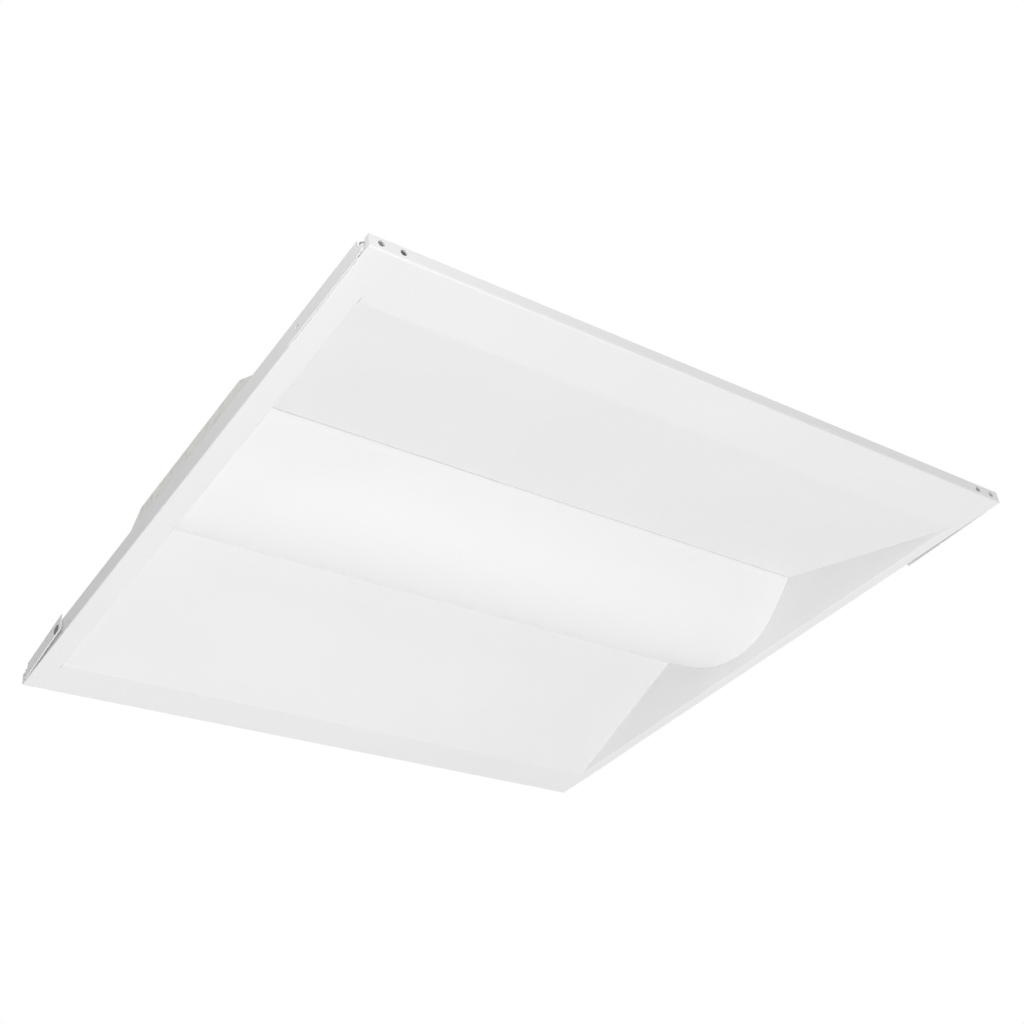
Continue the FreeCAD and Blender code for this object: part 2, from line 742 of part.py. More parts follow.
# ---------------------------------------------------------------- LED boards
board_low = channel_under - size("board_thick")
wire_level = channel_under - size("wire_drop")


def plug_span(end):
    """Place of a board's wire connector along X: next to the joint between the boards."""
    sign = ENDS[end]
    inner = size("board_joint") / 2 + size("plug_inset")
    low, high = span(sign, inner, inner + size("plug_length"))
    return (lens_middle + low, lens_middle + high)


def led_board(end, side):
    row = size("board_row") * SIDES[side]
    start = board_starts[end]
    name = f"led_board_{end}_{side}"
    plate = box(f"{name}_plate", (start, start + board_length), about(row, size("board_width")),
                (board_low, channel_under))
    keep(cut(name, plate, holes(name, board_screw_spots[end, side], size("screw_radius"),
                                board_low, channel_under)))
    chips = []
    chip = size("chip_side").value
    thick = size("chip_thick").value
    margin = size("chip_margin").value
    plug_room = (size("plug_inset") + size("plug_length")).value
    room = board_length.value - 2 * margin - plug_room
    pitch = (room - chip) / (CHIPS_PER_BOARD - 1)
    first = start.value + margin + (plug_room if end == "rear" else 0)
    screws = [x.value for x, _ in board_screw_spots[end, side]]
    beside_screw = size("screw_head").value + chip
    for number in range(CHIPS_PER_BOARD):
        x = first + number * pitch
        if min(abs(x + chip / 2 - screw) for screw in screws) < beside_screw:
            continue
        corner = FreeCAD.Vector(x, row.value - chip / 2, board_low.value - thick)
        chips.append(Part.makeBox(chip, chip, thick, corner))
    shape_node(f"led_chips_{end}_{side}", chips)


def board_plugs():
    pieces = []
    for end in ENDS:
        for side, sy in SIDES.items():
            pieces.append(box(f"board_plug_{end}_{side}", plug_span(end),
                              about(size("board_row") * sy, size("plug_width")),
                              (board_low - size("plug_height"), board_low)))
    keep(gather("board_plugs", pieces))


# ---------------------------------------------------------------- wires
def tube(points, radius, bend):
    """A round wire along straight runs joined by tangent arcs of one radius."""
    corners = [FreeCAD.Vector(*[dim(value).value for value in point]) for point in points]
    edges = []
    here = corners[0]
    for before, corner, after in zip(corners, corners[1:], corners[2:]):
        back = (before - corner).normalize()
        onward = (after - corner).normalize()
        half_turn = (math.pi - back.getAngle(onward)) / 2
        reach = bend * math.tan(half_turn)
        first = corner + back * reach
        last = corner + onward * reach
        inward = (back + onward).normalize()
        middle = corner + inward * (bend / math.cos(half_turn) - bend)
        edges += [Part.LineSegment(here, first).toShape(), Part.Arc(first, middle, last).toShape()]
        here = last
    edges.append(Part.LineSegment(here, corners[-1]).toShape())
    ring = Part.makeCircle(radius, corners[0], corners[1] - corners[0])
    return Part.Wire(edges).makePipeShell([Part.Wire([ring])], True, False)


def wires():
    radius = size("wire_radius").value
    bend = size("wire_bend").value
    gx, gy = grommet_spot
    out_x = driver_end
    level = box_floor_top + size("driver_board_lift") + size("terminal_height") / 2
    turn_x = out_x + 2 * size("driver_ear")
    row = size("board_row")
    row_edge = row - size("plug_width") / 2
    fronts = plug_span("front")
    rears = plug_span("rear")
    front_middle = (fronts[0] + fronts[1]) / 2
    rear_middle = (rears[0] + rears[1]) / 2
    runs = []
    for sy in SIDES.values():
        shift = size("wire_spread") * sy
        terminal = size("driver_offset") + size("terminal_spread") * sy
        runs.append(tube([(out_x, terminal, level),
                          (turn_x - shift, terminal, level),
                          (turn_x - shift, gy + shift, level),
                          (gx, gy + shift, level),
                          (gx, gy + shift, wire_level),
                          (rear_middle, gy + shift, wire_level),
                          (rear_middle, row_edge * sy, wire_level)],
                         radius, size("wire_tight_bend").value))
    shape_node("led_wires", runs)
    jumps = [tube([(fronts[1], row * sy, wire_level), (rears[0], row * sy, wire_level)], radius, bend)
             for sy in SIDES.values()]
    jumps.append(tube([(front_middle, -row_edge, wire_level), (front_middle, row_edge, wire_level)],
                      radius, bend))
    shape_node("jumper_wires", jumps)
    connector_end = connector_start + size("connector_length")
    supply_lines = [size("driver_offset") + size("supply_spread") * sy for sy in SIDES.values()]
    shape_node("supply_wires", [tube([(connector_end, across, level), (driver_start, across, level)],
                                     radius, bend) for across in supply_lines])


def ground_wire():
    """Green wire from the connector to a ring lug under the ground screw."""
    radius = size("wire_radius").value
    gx, gy = ground_spot
    lug = size("driver_sheet")
    connector_end = connector_start + size("connector_length")
    level = box_floor_top + lug + size("wire_radius")
    edge = size("driver_offset") + size("connector_width") / 2
    middle = connector_end - size("connector_length") / 2
    run = tube([(middle, edge, level), (middle, gy, level), (gx - size("lug_radius"), gy, level)],
               radius, size("wire_bend").value)
    centre = FreeCAD.Vector(gx.value, gy.value, box_floor_top.value)
    reach = (size("lug_radius") + size("lug_tongue")).value
    width = size("lug_tongue_width").value
    ring = Part.makeCylinder(size("lug_radius").value, lug.value, centre)
    tongue = Part.makeBox(reach, width, lug.value, centre - FreeCAD.Vector(reach, width / 2, 0))
    hole = Part.makeCylinder((size("screw_radius") + size("fastener_fit")).value, lug.value, centre)
    shape_node("ground_wire", [run, ring.fuse(tongue).cut(hole)])


def wire_grommet():
    x, y = grommet_spot
    lip = size("grommet_lip")
    low = channel_under - lip
    whole = box_floor_top + lip - low
    neck = cylinder("wire_grommet_neck", "Z", (x, y, low), size("grommet_neck"), whole)
    lower = cylinder("wire_grommet_lower", "Z", (x, y, low), size("grommet_flange"), lip)
    upper = cylinder("wire_grommet_upper", "Z", (x, y, box_floor_top), size("grommet_flange"), lip)
    bore = cylinder("wire_grommet_bore", "Z", (x, y, low - overlap), size("grommet_bore"),
                    whole + 2 * overlap)
    keep(cut("wire_grommet", fuse("wire_grommet_solid", [neck, lower, upper]), [bore]))


# ---------------------------------------------------------------- driver box and its cover
hinge_axis_across = box_half_width + size("hinge_knuckle") + size("hinge_gap")
cover_top = box_top + size("box_sheet")
hinge_axis_height = cover_top - size("hinge_knuckle")
hinge_places = [size("hinge_spacing") * share for share in (-0.5, 0.5)]


def knuckle(name, along, web_ys, web_zs):
    """A hinge knuckle along X, with the leaf that ties it to its sheet."""
    roll = cylinder(f"{name}_roll", "X", (along[0], hinge_axis_across, hinge_axis_height),
                    size("hinge_knuckle"), along[1] - along[0])
    leaf = box(f"{name}_leaf", along, web_ys, web_zs)
    return [roll, leaf]


def hinge_bore(name):
    radius = size("hinge_pin") + size("hinge_fit")
    length = size("hinge_middle") + 2 * size("hinge_outer") + 4 * size("hinge_pin_end")
    return [cylinder(f"{name}_bore_{number}", "X",
                     (place - length / 2, hinge_axis_across, hinge_axis_height), radius, length)
            for number, place in enumerate(hinge_places)]


def knockout_spots():
    """Centres of the conduit knockouts, as end, distance across and height."""
    height = channel_top + size("knockout_height")
    return [(end, size("knockout_spacing") * share, height) for end in ENDS for share in (-0.5, 0.5)]


def driver_box():
    wall = size("box_sheet")
    outer = box("driver_box_outer", (-box_half, box_half), (-box_half_width, box_half_width),
                (channel_top, box_top))
    inner = box("driver_box_inner", (-box_half + wall, box_half - wall),
                (-box_half_width + wall, box_half_width - wall), (box_floor_top, box_top + overlap))
    tray = cut("driver_box_tray", outer, [inner])
    pieces = [tray]
    for number, place in enumerate(hinge_places):
        gap = size("hinge_middle") / 2 + size("hinge_gap")
        for sign in (-1, 1):
            along = span(sign, gap, gap + size("hinge_outer"))
            pieces += knuckle(f"driver_box_knuckle_{number}_{'ab'[sign > 0]}",
                              (place + along[0], place + along[1]),
                              (box_half_width - wall, hinge_axis_across),
                              (hinge_axis_height - size("hinge_knuckle"), hinge_axis_height))
    solid = fuse("driver_box_solid", pieces)
    tools = hinge_bore("driver_box")
    for number, (end, across, height) in enumerate(knockout_spots()):
        start = ENDS[end] * box_half - 3 * wall
        tools.append(cylinder(f"driver_box_knockout_{number}", "X", (start, across, height),
                              size("knockout_radius"), 6 * wall))
    level = (channel_top, box_floor_top)
    tools += holes("box_floor_box", box_screw_spots, size("screw_radius"), *level)
    tools += holes("box_floor_driver", driver_screw_spots, size("screw_radius"), *level)
    tools += holes("box_floor_ground", [ground_spot], size("screw_radius"), *level)
    tools += holes("box_floor_grommet", [grommet_spot], size("grommet_neck"), *level)
    keep(cut("driver_box", solid, tools))


def knockout_slugs():
    """The knockouts that are still closed.  The front right one is open for the supply."""
    wall = size("box_sheet")
    closed = [spot for spot in knockout_spots() if not (spot[0] == "front" and spot[1].value > 0)]
    pieces = []
    for number, (end, across, height) in enumerate(closed):
        start = span(ENDS[end], box_half - wall, box_half)[0]
        pieces.append(cylinder(f"knockout_slug_{number}", "X", (start, across, height),
                               size("knockout_radius") - size("knockout_gap"), wall))
    keep(gather("knockout_slugs", pieces))


def access_cover():
    wall = size("box_sheet")
    reach = box_half + size("cover_gap") + wall
    front = box_half_width + size("cover_gap") + wall
    edge = (box_top - size("cover_edge"), cover_top)
    tab_half = size("cover_tab_half")
    pieces = [box("access_cover_plate", (-reach, reach), (-front, box_half_width),
                  (box_top, cover_top)),
              box("access_cover_front_edge", (-reach, reach), (-front, -front + wall), edge),
              box("access_cover_tab", (-tab_half, tab_half),
                  (-front - size("cover_tab"), -front + wall), (edge[0], edge[0] + wall))]
    for end, sign in ENDS.items():
        pieces.append(box(f"access_cover_{end}_edge", span(sign, reach - wall, reach),
                          (-front, box_half_width - size("cover_edge")), edge))
    for number, place in enumerate(hinge_places):
        pieces += knuckle(f"access_cover_knuckle_{number}", about(place, size("hinge_middle")),
                          (box_half_width - wall, hinge_axis_across), (box_top, cover_top))
    keep(cut("access_cover", fuse("access_cover_solid", pieces), hinge_bore("access_cover")))


def hinge_pins():
    beyond = size("hinge_outer") + size("hinge_gap") + size("hinge_pin_end")
    length = size("hinge_middle") + 2 * beyond
    pins = [cylinder(f"hinge_pin_{number}", "X",
                     (place - length / 2, hinge_axis_across, hinge_axis_height),
                     size("hinge_pin"), length)
            for number, place in enumerate(hinge_places)]
    keep(gather("hinge_pins", pins))


# ---------------------------------------------------------------- driver
driver_ys = about(size("driver_offset"), size("driver_width"))
driver_top = box_floor_top + size("driver_height")
driver_board_low = box_floor_top + size("driver_sheet") + size("driver_board_lift")


def terminal_block_spans(end, extra=0.0):
    """Outline of a terminal block that shows through one end of the driver."""
    start = driver_start if end == "front" else driver_end - size("terminal_length")
    low = driver_board_low + size("board_thick")
    ys = about(size("driver_offset"), size("terminal_width") + 2 * extra)
    zs = (low - extra, low + size("terminal_height") + extra)
    return (start, start + size("terminal_length")), ys, zs


def driver():
    wall = size("driver_sheet")
    xs = (driver_start, driver_end)
    ear = size("driver_ear")
    inside_ys = (driver_ys[0] + wall, driver_ys[1] - wall)
    outer = box("driver_case_outer", xs, driver_ys, (box_floor_top, driver_top - wall))
    inner = box("driver_case_inner", (xs[0] + wall, xs[1] - wall), inside_ys,
                (box_floor_top + wall, driver_top))
    ears = box("driver_case_ears", (xs[0] - ear, xs[1] + ear),
               about(size("driver_offset"), size("driver_ear_width")),
               (box_floor_top, box_floor_top + wall))
    posts = [box(f"driver_case_post_{number}",
                 about(driver_start + size("driver_length") * share, size("driver_post")),
                 inside_ys, (box_floor_top, driver_board_low))
             for number, share in enumerate(DRIVER_POST_SHARES)]
    shell = fuse("driver_case_shell", [cut("driver_case_can", outer, [inner]), ears] + posts)
    windows = []
    for end in ENDS:
        xs_block, ys, zs = terminal_block_spans(end, size("terminal_gap"))
        windows.append(box(f"driver_case_{end}_window",
                           (xs_block[0] - 2 * wall, xs_block[1] + 2 * wall), ys, zs))
    drills = holes("driver_case", driver_screw_spots, size("screw_radius"),
                   box_floor_top, box_floor_top + wall)
    keep(cut("driver_case", shell, windows + drills))
    keep(box("driver_lid", xs, driver_ys, (driver_top - wall, driver_top)))
    gap = wall + size("driver_board_gap")
    keep(box("driver_board", (xs[0] + gap, xs[1] - gap), (driver_ys[0] + gap, driver_ys[1] - gap),
             (driver_board_low, driver_board_low + size("board_thick"))))
    on_board = driver_board_low + size("board_thick")
    blocks = [box(f"driver_terminal_{end}", *terminal_block_spans(end)) for end in ENDS]
    keep(gather("driver_terminals", blocks))
    middle = size("driver_offset")
    core_x = driver_start + size("driver_length") * TRANSFORMER_SHARE
    core_top = on_board + size("transformer_height")
    core = box("driver_transformer_core", about(core_x, size("transformer_length")),
               about(middle, size("transformer_width")), (on_board, core_top))
    coil = cylinder("driver_transformer_coil", "Z", (core_x, middle, core_top),
                    size("coil_radius"), size("coil_height"))
    keep(fuse("driver_transformer", [core, coil]))
    cans = [cylinder(f"driver_capacitor_{number}", "Z",
                     (driver_start + size("driver_length") * share, middle, on_board),
                     size("capacitor_radius"), size("capacitor_height"))
            for number, share in enumerate(CAPACITOR_SHARES)]
    keep(gather("driver_capacitors", cans))


def wiring_connector():
    """Push-in connector for the supply, standing on the box's floor."""
    start = connector_start
    xs = (start, start + size("connector_length"))
    ys = about(size("driver_offset"), size("connector_width"))
    level = box_floor_top
    top = level + size("connector_height")
    block = box("wiring_connector_block", xs, ys, (level, top))
    pitch = size("connector_width") / 3
    entries = [cylinder(f"wiring_connector_entry_{number}", "X",
                        (start - overlap, size("driver_offset") + pitch * step,
                         top - size("connector_entry_drop")),
                        size("connector_entry"), size("connector_entry_depth") + overlap)
               for number, step in enumerate((-1, 0, 1))]
    keep(cut("wiring_connector", block, entries))


# ---------------------------------------------------------------- the assembly
for end in ENDS:
    end_plate(end)
for side in SIDES:
    side_reflector(side)
centre_channel()
for end in ENDS:
    for side in SIDES:
        corner_bracket(end, side)
        grid_clip(end, side, OPEN_CLIP_ANGLE if (end, side) in OPEN_CLIPS else 0)
        led_board(end, side)
clip_pins()
housing_fasteners()
lens()
lens_clips()
board_plugs()
wires()
ground_wire()
wire_grommet()
driver_box()
knockout_slugs()
access_cover()
hinge_pins()
driver()
wiring_connector()

doc.recompute()
for obj in doc.Objects:
    if "Invalid" in obj.State or "Error" in obj.State:
        raise RuntimeError(f"{obj.Label} did not build: {obj.State}")
for obj in nodes:
    if obj.Shape.isNull() or not obj.Shape.isValid():
        raise RuntimeError(f"{obj.Label} has no valid shape")

os.makedirs("parts", exist_ok=True)
for obj in nodes:
    obj.Label = obj.Name
    obj.Shape.exportStep(os.path.join("parts", obj.Label + ".step"))
    bounds = obj.Shape.BoundBox
    print(f"{obj.Label:30s} {len(obj.Shape.Solids):3d} solids, {obj.Shape.Volume:12.1f} mm3, "
          f"{bounds.XMin:8.2f} {bounds.YMin:8.2f} {bounds.ZMin:7.2f} to "
          f"{bounds.XMax:8.2f} {bounds.YMax:8.2f} {bounds.ZMax:7.2f}")
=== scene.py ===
"""Recessed troffer light seen from below, off its ceiling, on a white background.

The pieces' sizes are in millimetres until a mesh is made, when MM turns them into metres.
Camera, lamps, floor, materials and the CAD nodes' edges are in metres.
"""
import json
import math

import bmesh
import bpy
from mathutils import Matrix, Vector


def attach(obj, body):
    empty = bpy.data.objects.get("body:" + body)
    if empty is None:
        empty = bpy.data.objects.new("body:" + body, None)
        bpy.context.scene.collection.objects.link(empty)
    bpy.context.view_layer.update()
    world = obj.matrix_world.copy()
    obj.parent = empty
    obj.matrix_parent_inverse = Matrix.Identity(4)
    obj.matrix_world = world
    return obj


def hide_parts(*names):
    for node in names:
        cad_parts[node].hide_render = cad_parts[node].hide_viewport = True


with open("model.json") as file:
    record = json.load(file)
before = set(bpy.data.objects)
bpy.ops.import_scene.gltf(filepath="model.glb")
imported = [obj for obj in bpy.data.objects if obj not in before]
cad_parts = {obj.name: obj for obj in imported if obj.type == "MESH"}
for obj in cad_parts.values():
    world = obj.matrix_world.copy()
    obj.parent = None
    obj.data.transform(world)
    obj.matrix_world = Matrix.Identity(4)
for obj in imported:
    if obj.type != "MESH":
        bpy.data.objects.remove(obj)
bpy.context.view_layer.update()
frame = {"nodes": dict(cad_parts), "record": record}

nodes = frame["nodes"]
MM = 0.001

ENDS = {"front": -1, "rear": 1}
SIDES = {"left": -1, "right": 1}

# ---------------------------------------------------------------- sizes shared with the CAD
# Housing
HALF = 301.625                  # half side of the square flange
STEEL = 0.8                     # housing sheet
STRIPS = {"front": 19.0, "rear": 11.6}      # flange strips of the end plates
END_LIP = 16.5
SIDE_LIP = 11.0
CREASE = HALF - 46.0            # between a flat band and its slope
RISE = 47.5                     # of a reflector, up to its inner edge
OPENING = 87.5                  # half width of the opening for the lens
INNER_FLANGE = 12.5             # of a reflector, under the channel
LEAN = 7.4 / RISE               # of an end wall, by its height
WALL_HALF = 260.0               # half width of an end wall at the flange
WALL_EDGE = 3.0                 # end wall standing proud of the reflector's back
END_FLANGE = 10.0               # of an end plate, under the channel
END_FLANGE_HALF = 68.0
CHANNEL_TOP = 62.0
CHANNEL_UNDER = CHANNEL_TOP - STEEL
FLANGE_UNDER = CHANNEL_UNDER - STEEL
SLOPE = RISE / (CREASE - OPENING)
BACK = STEEL * math.hypot(1, SLOPE)         # a reflector's sheet, measured upright
# Hanging holes and grid clips
HOLE_RADIUS = 2.5
HOLE_HEIGHT = 6.0
HOLE_INSETS = (9.0, 25.3)       # from the flange's end
PIN_INSET = 9.5                 # a clip's pin, from the side lip
PIN_OUT = HALF - 1.35           # the pin, along the light
NOTCH_HALF = 4.5                # of the end lip's notch, beside the pin
CLIP_FACE = 2.4                 # an arm's outer face, from its pin
OPEN_CLIPS = (("front", "right"), ("rear", "left"))
OPEN_CLIP_ANGLE = -2.2
BRACKET_STEEL = 1.0
# Lens
LENS_RADIUS = 107.5
LENS_WALL = 2.0
LENS_ARC_HALF = 60.0            # half width of the round part
LENS_LOW = 10.7                 # its lowest point
LENS_LEG_TOP = 54.0
LENS_CLIP_PITCH = 150.0
# LED boards
BOARD_END_GAP = 2.8             # between a board and the end plate's flange
BOARD_JOINT_HALF = 2.0
BOARD_ROW = 44.0                # a row's middle from the middle plane
BOARD_THICK = 1.6
BOARD_SCREW_SHARES = (0.1, 0.5, 0.9)        # of a board's length
CHIPS_PER_BOARD = 20
CHIP_SIDE = 3.0
CHIP_THICK = 0.7
CHIP_MARGIN = 5.0               # from a board's end to its first chip
PLUG_INSET = 1.0                # from the board's end
PLUG_LENGTH = 10.0
# Driver box
BOX_STEEL = 0.8
BOX_FLOOR = CHANNEL_TOP + BOX_STEEL
BOX_TOP = CHANNEL_TOP + 33.0
KNOCKOUT_ACROSS = 25.0
KNOCKOUT_HEIGHT = 15.0
DRIVER_ACROSS = -30.0
DRIVER_HEIGHT = 26.0
DRIVER_STEEL = 0.7
DRIVER_BOARD_LIFT = 4.0
TERMINAL_HEIGHT = 12.0
CONNECTOR_HEIGHT = 15.0
CONNECTOR_PITCH = 6.0
# Fasteners
RIVET_RADIUS, RIVET_HEAD, RIVET_HEAD_THICK = 1.6, 3.2, 0.9
SCREW_RADIUS, SCREW_HEAD, SCREW_HEAD_THICK = 1.7, 3.3, 1.8

# ---------------------------------------------------------------- sizes of this script only
LENS_GAP = 0.15                 # between the lens and the sheets round it
BEND = 0.5                      # inner radius of the sheets' bends
TIGHT_BEND = 0.1                # the same for a corner that shows as a crisp line
BEND_ROWS = 5                   # rows of points in one bend of a sheet
EDGE_ROUND = 0.2                # of a lip's free edges
FREE_EDGE = 5.0                 # a lip's sharp edges above this height are free
SMALL_SMOOTH = 25.0             # degrees, the sharpest smooth edge of small turned shapes


def wall_inner(end, height):
    return HALF - STRIPS[end] - LEAN * height


def reflector_top(across):
    return (CREASE - across) * SLOPE + BACK


# ---------------------------------------------------------------- camera, lamps, floor
def make_camera():
    data = bpy.data.cameras.new("camera")
    data.sensor_width = 36.0
    data.lens = 49.976
    data.shift_x = 0.03125
    data.clip_start, data.clip_end = 0.01, 100.0
    cam = bpy.data.objects.new("camera", data)
    bpy.context.scene.collection.objects.link(cam)
    right = Vector((0.823323, -0.558900, -0.098847))
    up = Vector((-0.258104, -0.523792, 0.811803))
    back = Vector((-0.505492, -0.642863, -0.575504))
    place = (-0.64286, -0.81211, -0.63861)
    turn = Matrix((right, up, back)).transposed().to_4x4()
    cam.matrix_world = Matrix.Translation(place) @ turn
    bpy.context.scene.camera = cam


def make_lamp(name, place, target, side, power):
    """Round lamp; place, target and side in metres, power in watts."""
    data = bpy.data.lights.new(name, "AREA")
    data.shape = "DISK"
    data.size = side
    data.energy = power
    lamp = bpy.data.objects.new(name, data)
    lamp.location = place
    lamp.rotation_mode = "QUATERNION"
    lamp.rotation_quaternion = (Vector(target) - Vector(place)).to_track_quat("-Z", "Y")
    lamp.visible_camera = False
    bpy.context.scene.collection.objects.link(lamp)


def make_world(strength, drift):
    """White to the eye, and a soft light that drifts a little from side to side."""
    world = bpy.data.worlds.new("studio")
    bpy.context.scene.world = world
    world.use_nodes = True
    tree = world.node_tree
    tree.nodes.clear()
    out = tree.nodes.new("ShaderNodeOutputWorld")
    shown = tree.nodes.new("ShaderNodeBackground")
    light = tree.nodes.new("ShaderNodeBackground")
    shown.inputs["Color"].default_value = (1, 1, 1, 1)
    light.inputs["Color"].default_value = (1, 1, 1, 1)
    place = tree.nodes.new("ShaderNodeTexCoord")
    lean = tree.nodes.new("ShaderNodeVectorMath")
    lean.operation = "DOT_PRODUCT"
    lean.inputs[1].default_value = drift
    level = tree.nodes.new("ShaderNodeMath")
    level.inputs[1].default_value = strength
    tree.links.new(lean.inputs[0], place.outputs["Generated"])
    tree.links.new(level.inputs[0], lean.outputs["Value"])
    tree.links.new(light.inputs["Strength"], level.outputs[0])
    mix = tree.nodes.new("ShaderNodeMixShader")
    tree.links.new(mix.inputs[0], seen_rays(tree))
    tree.links.new(mix.inputs[1], light.outputs[0])
    tree.links.new(mix.inputs[2], shown.outputs[0])
    tree.links.new(out.inputs["Surface"], mix.outputs[0])


def seen_rays(tree):
    """1 for camera, glossy and transmission rays."""
    path = tree.nodes.new("ShaderNodeLightPath")
    total = path.outputs["Is Camera Ray"]
    for kind in ("Is Glossy Ray", "Is Transmission Ray"):
        more = tree.nodes.new("ShaderNodeMath")
        more.operation = "MAXIMUM"
        tree.links.new(more.inputs[0], total)
        tree.links.new(more.inputs[1], path.outputs[kind])
        total = more.outputs[0]
    return total


def make_floor(depth, side, glow_share):
    """White floor below, which itself glows a little to the eye."""
    mesh = bpy.data.meshes.new("floor")
    corners = [(-side, -side), (side, -side), (side, side), (-side, side)]
    mesh.from_pydata([(x, y, -depth) for x, y in corners], [], [(0, 1, 2, 3)])
    floor = bpy.data.objects.new("floor", mesh)
    bpy.context.scene.collection.objects.link(floor)
    mat = bpy.data.materials.new("floor")
    mat.use_nodes = True
    tree = mat.node_tree
    shader = tree.nodes["Principled BSDF"]
    shader.inputs["Base Color"].default_value = (0.90, 0.90, 0.90, 1)
    shader.inputs["Roughness"].default_value = 0.9
    glow = tree.nodes.new("ShaderNodeEmission")
    share = tree.nodes.new("ShaderNodeMath")
    share.operation = "MULTIPLY"
    share.inputs[1].default_value = glow_share
    mix = tree.nodes.new("ShaderNodeMixShader")
    tree.links.new(share.inputs[0], seen_rays(tree))
    tree.links.new(mix.inputs[0], share.outputs[0])
    tree.links.new(mix.inputs[1], shader.outputs[0])
    tree.links.new(mix.inputs[2], glow.outputs[0])
    tree.links.new(tree.nodes["Material Output"].inputs["Surface"], mix.outputs[0])
    mesh.materials.append(mat)


make_camera()
make_world(0.61, (0.38, -0.07, 0.0))
make_floor(2.4, 9.0, 0.7)
make_lamp("lamp_low", (-0.42, -0.40, -2.15), (0, 0, 0), 1.8, 20.6)
make_lamp("lamp_near", (-0.80, -0.78, -0.04), (-0.3, -0.28, 0.0), 0.3, 2.3)
make_lamp("lamp_high", (0.4, 0.5, 2.4), (0, 0, 0), 1.6, 22.0)
bpy.context.scene.view_settings.view_transform = "Standard"


# ---------------------------------------------------------------- materials
def new_material(name, colour, roughness, metallic=0.0):
    mat = bpy.data.materials.new(name)
    mat.use_nodes = True
    shader = mat.node_tree.nodes["Principled BSDF"]
    shader.inputs["Base Color"].default_value = (*colour, 1)
    shader.inputs["Roughness"].default_value = roughness
    shader.inputs["Metallic"].default_value = metallic
    return mat


def node(mat, kind, inputs=None, **settings):
    made = mat.node_tree.nodes.new(kind)
    for key, value in settings.items():
        setattr(made, key, value)
    for key, value in (inputs or {}).items():
        socket = made.inputs[key]
        if isinstance(value, bpy.types.NodeSocket):
            mat.node_tree.links.new(socket, value)
        else:
            socket.default_value = value
    return made


def stretched(mat, scale):
    """Object coordinates, scaled by axis."""
    place = node(mat, "ShaderNodeTexCoord")
    mapping = node(mat, "ShaderNodeMapping", {"Vector": place.outputs["Object"], "Scale": scale})
    return mapping.outputs[0]


def noise(mat, scale, detail=2.0, stretch=(1, 1, 1)):
    return node(mat, "ShaderNodeTexNoise", {"Vector": stretched(mat, stretch), "Scale": scale,
                                            "Detail": detail}).outputs["Fac"]


def ramp(mat, factor, stops):
    made = node(mat, "ShaderNodeValToRGB", {"Fac": factor})
    elements = made.color_ramp.elements
    while len(elements) < len(stops):
        elements.new(0.5)
    for element, (place, colour) in zip(elements, stops):
        element.position = place
        element.color = (*colour, 1) if isinstance(colour, tuple) else (colour, colour, colour, 1)
    return made.outputs["Color"]


def shade(colour, factor):
    return tuple(channel * factor for channel in colour)


def link(mat, socket, output):
    mat.node_tree.links.new(mat.node_tree.nodes["Principled BSDF"].inputs[socket], output)


def tint(mat, factor, colour, *stops):
    """Base colour: the colour times a share, at each place and share in stops."""
    colours = [(place, shade(colour, share)) for place, share in stops]
    link(mat, "Base Color", ramp(mat, factor, colours))


def gloss(mat, factor, *stops):
    link(mat, "Roughness", ramp(mat, factor, stops))


def bump(mat, height, strength, distance, below=None):
    inputs = {"Height": height, "Strength": strength, "Distance": distance}
    if below is not None:
        inputs["Normal"] = below
    made = node(mat, "ShaderNodeBump", inputs)
    link(mat, "Normal", made.outputs[0])
    return made.outputs[0]


def powder_coat(name, colour):
    """Matte powder coat: orange peel, a faint cloudiness and uneven sheen."""
    mat = new_material(name, colour, 0.5)
    cloud = noise(mat, 6.0, 3.0)
    tint(mat, cloud, colour, (0.3, 0.985), (0.7, 1.01))
    gloss(mat, noise(mat, 350.0, 4.0), (0.3, 0.42), (0.7, 0.58))
    rolled = bump(mat, noise(mat, 9.0, 2.0, (1, 1.4, 1)), 0.10, 0.004)
    bump(mat, noise(mat, 900.0, 3.0), 0.05, 0.0004, rolled)
    return mat


def galvanised(name, colour):
    """Zinc coat with its spangle: patches of crystal that differ in tone and gloss."""
    mat = new_material(name, colour, 0.45, 0.35)
    cells = node(mat, "ShaderNodeTexVoronoi", {"Vector": stretched(mat, (1, 1, 1)), "Scale": 170.0,
                                               "Randomness": 1.0})
    tone = node(mat, "ShaderNodeSeparateColor", {"Color": cells.outputs["Color"]}).outputs["Red"]
    streaks = noise(mat, 30.0, 5.0, (1, 9, 9))
    both = node(mat, "ShaderNodeMath", {0: tone, 1: streaks}, operation="ADD").outputs[0]
    tint(mat, both, colour, (0.25, 0.86), (0.95, 1.10))
    gloss(mat, tone, (0.0, 0.36), (1.0, 0.52))
    bump(mat, both, 0.08, 0.0003)
    return mat


def drawn_steel(name, colour):
    """Plain steel with fine drawing lines along X."""
    mat = new_material(name, colour, 0.35, 1.0)
    lines = noise(mat, 220.0, 6.0, (1, 12, 12))
    tint(mat, lines, colour, (0.3, 0.86), (0.7, 1.08))
    gloss(mat, lines, (0.3, 0.28), (0.7, 0.44))
    bump(mat, lines, 0.12, 0.0002)
    return mat


def zinc_plate(name, colour):
    mat = new_material(name, colour, 0.25, 1.0)
    film = noise(mat, 260.0, 3.0)
    cool, warm = shade(colour, 0.94), (colour[0] * 1.05, colour[1] * 1.02, colour[2] * 0.93)
    link(mat, "Base Color", ramp(mat, film, [(0.35, cool), (0.65, warm)]))
    gloss(mat, noise(mat, 900.0, 4.0), (0.3, 0.18), (0.7, 0.34))
    bump(mat, noise(mat, 1600.0, 3.0), 0.06, 0.0001)
    return mat


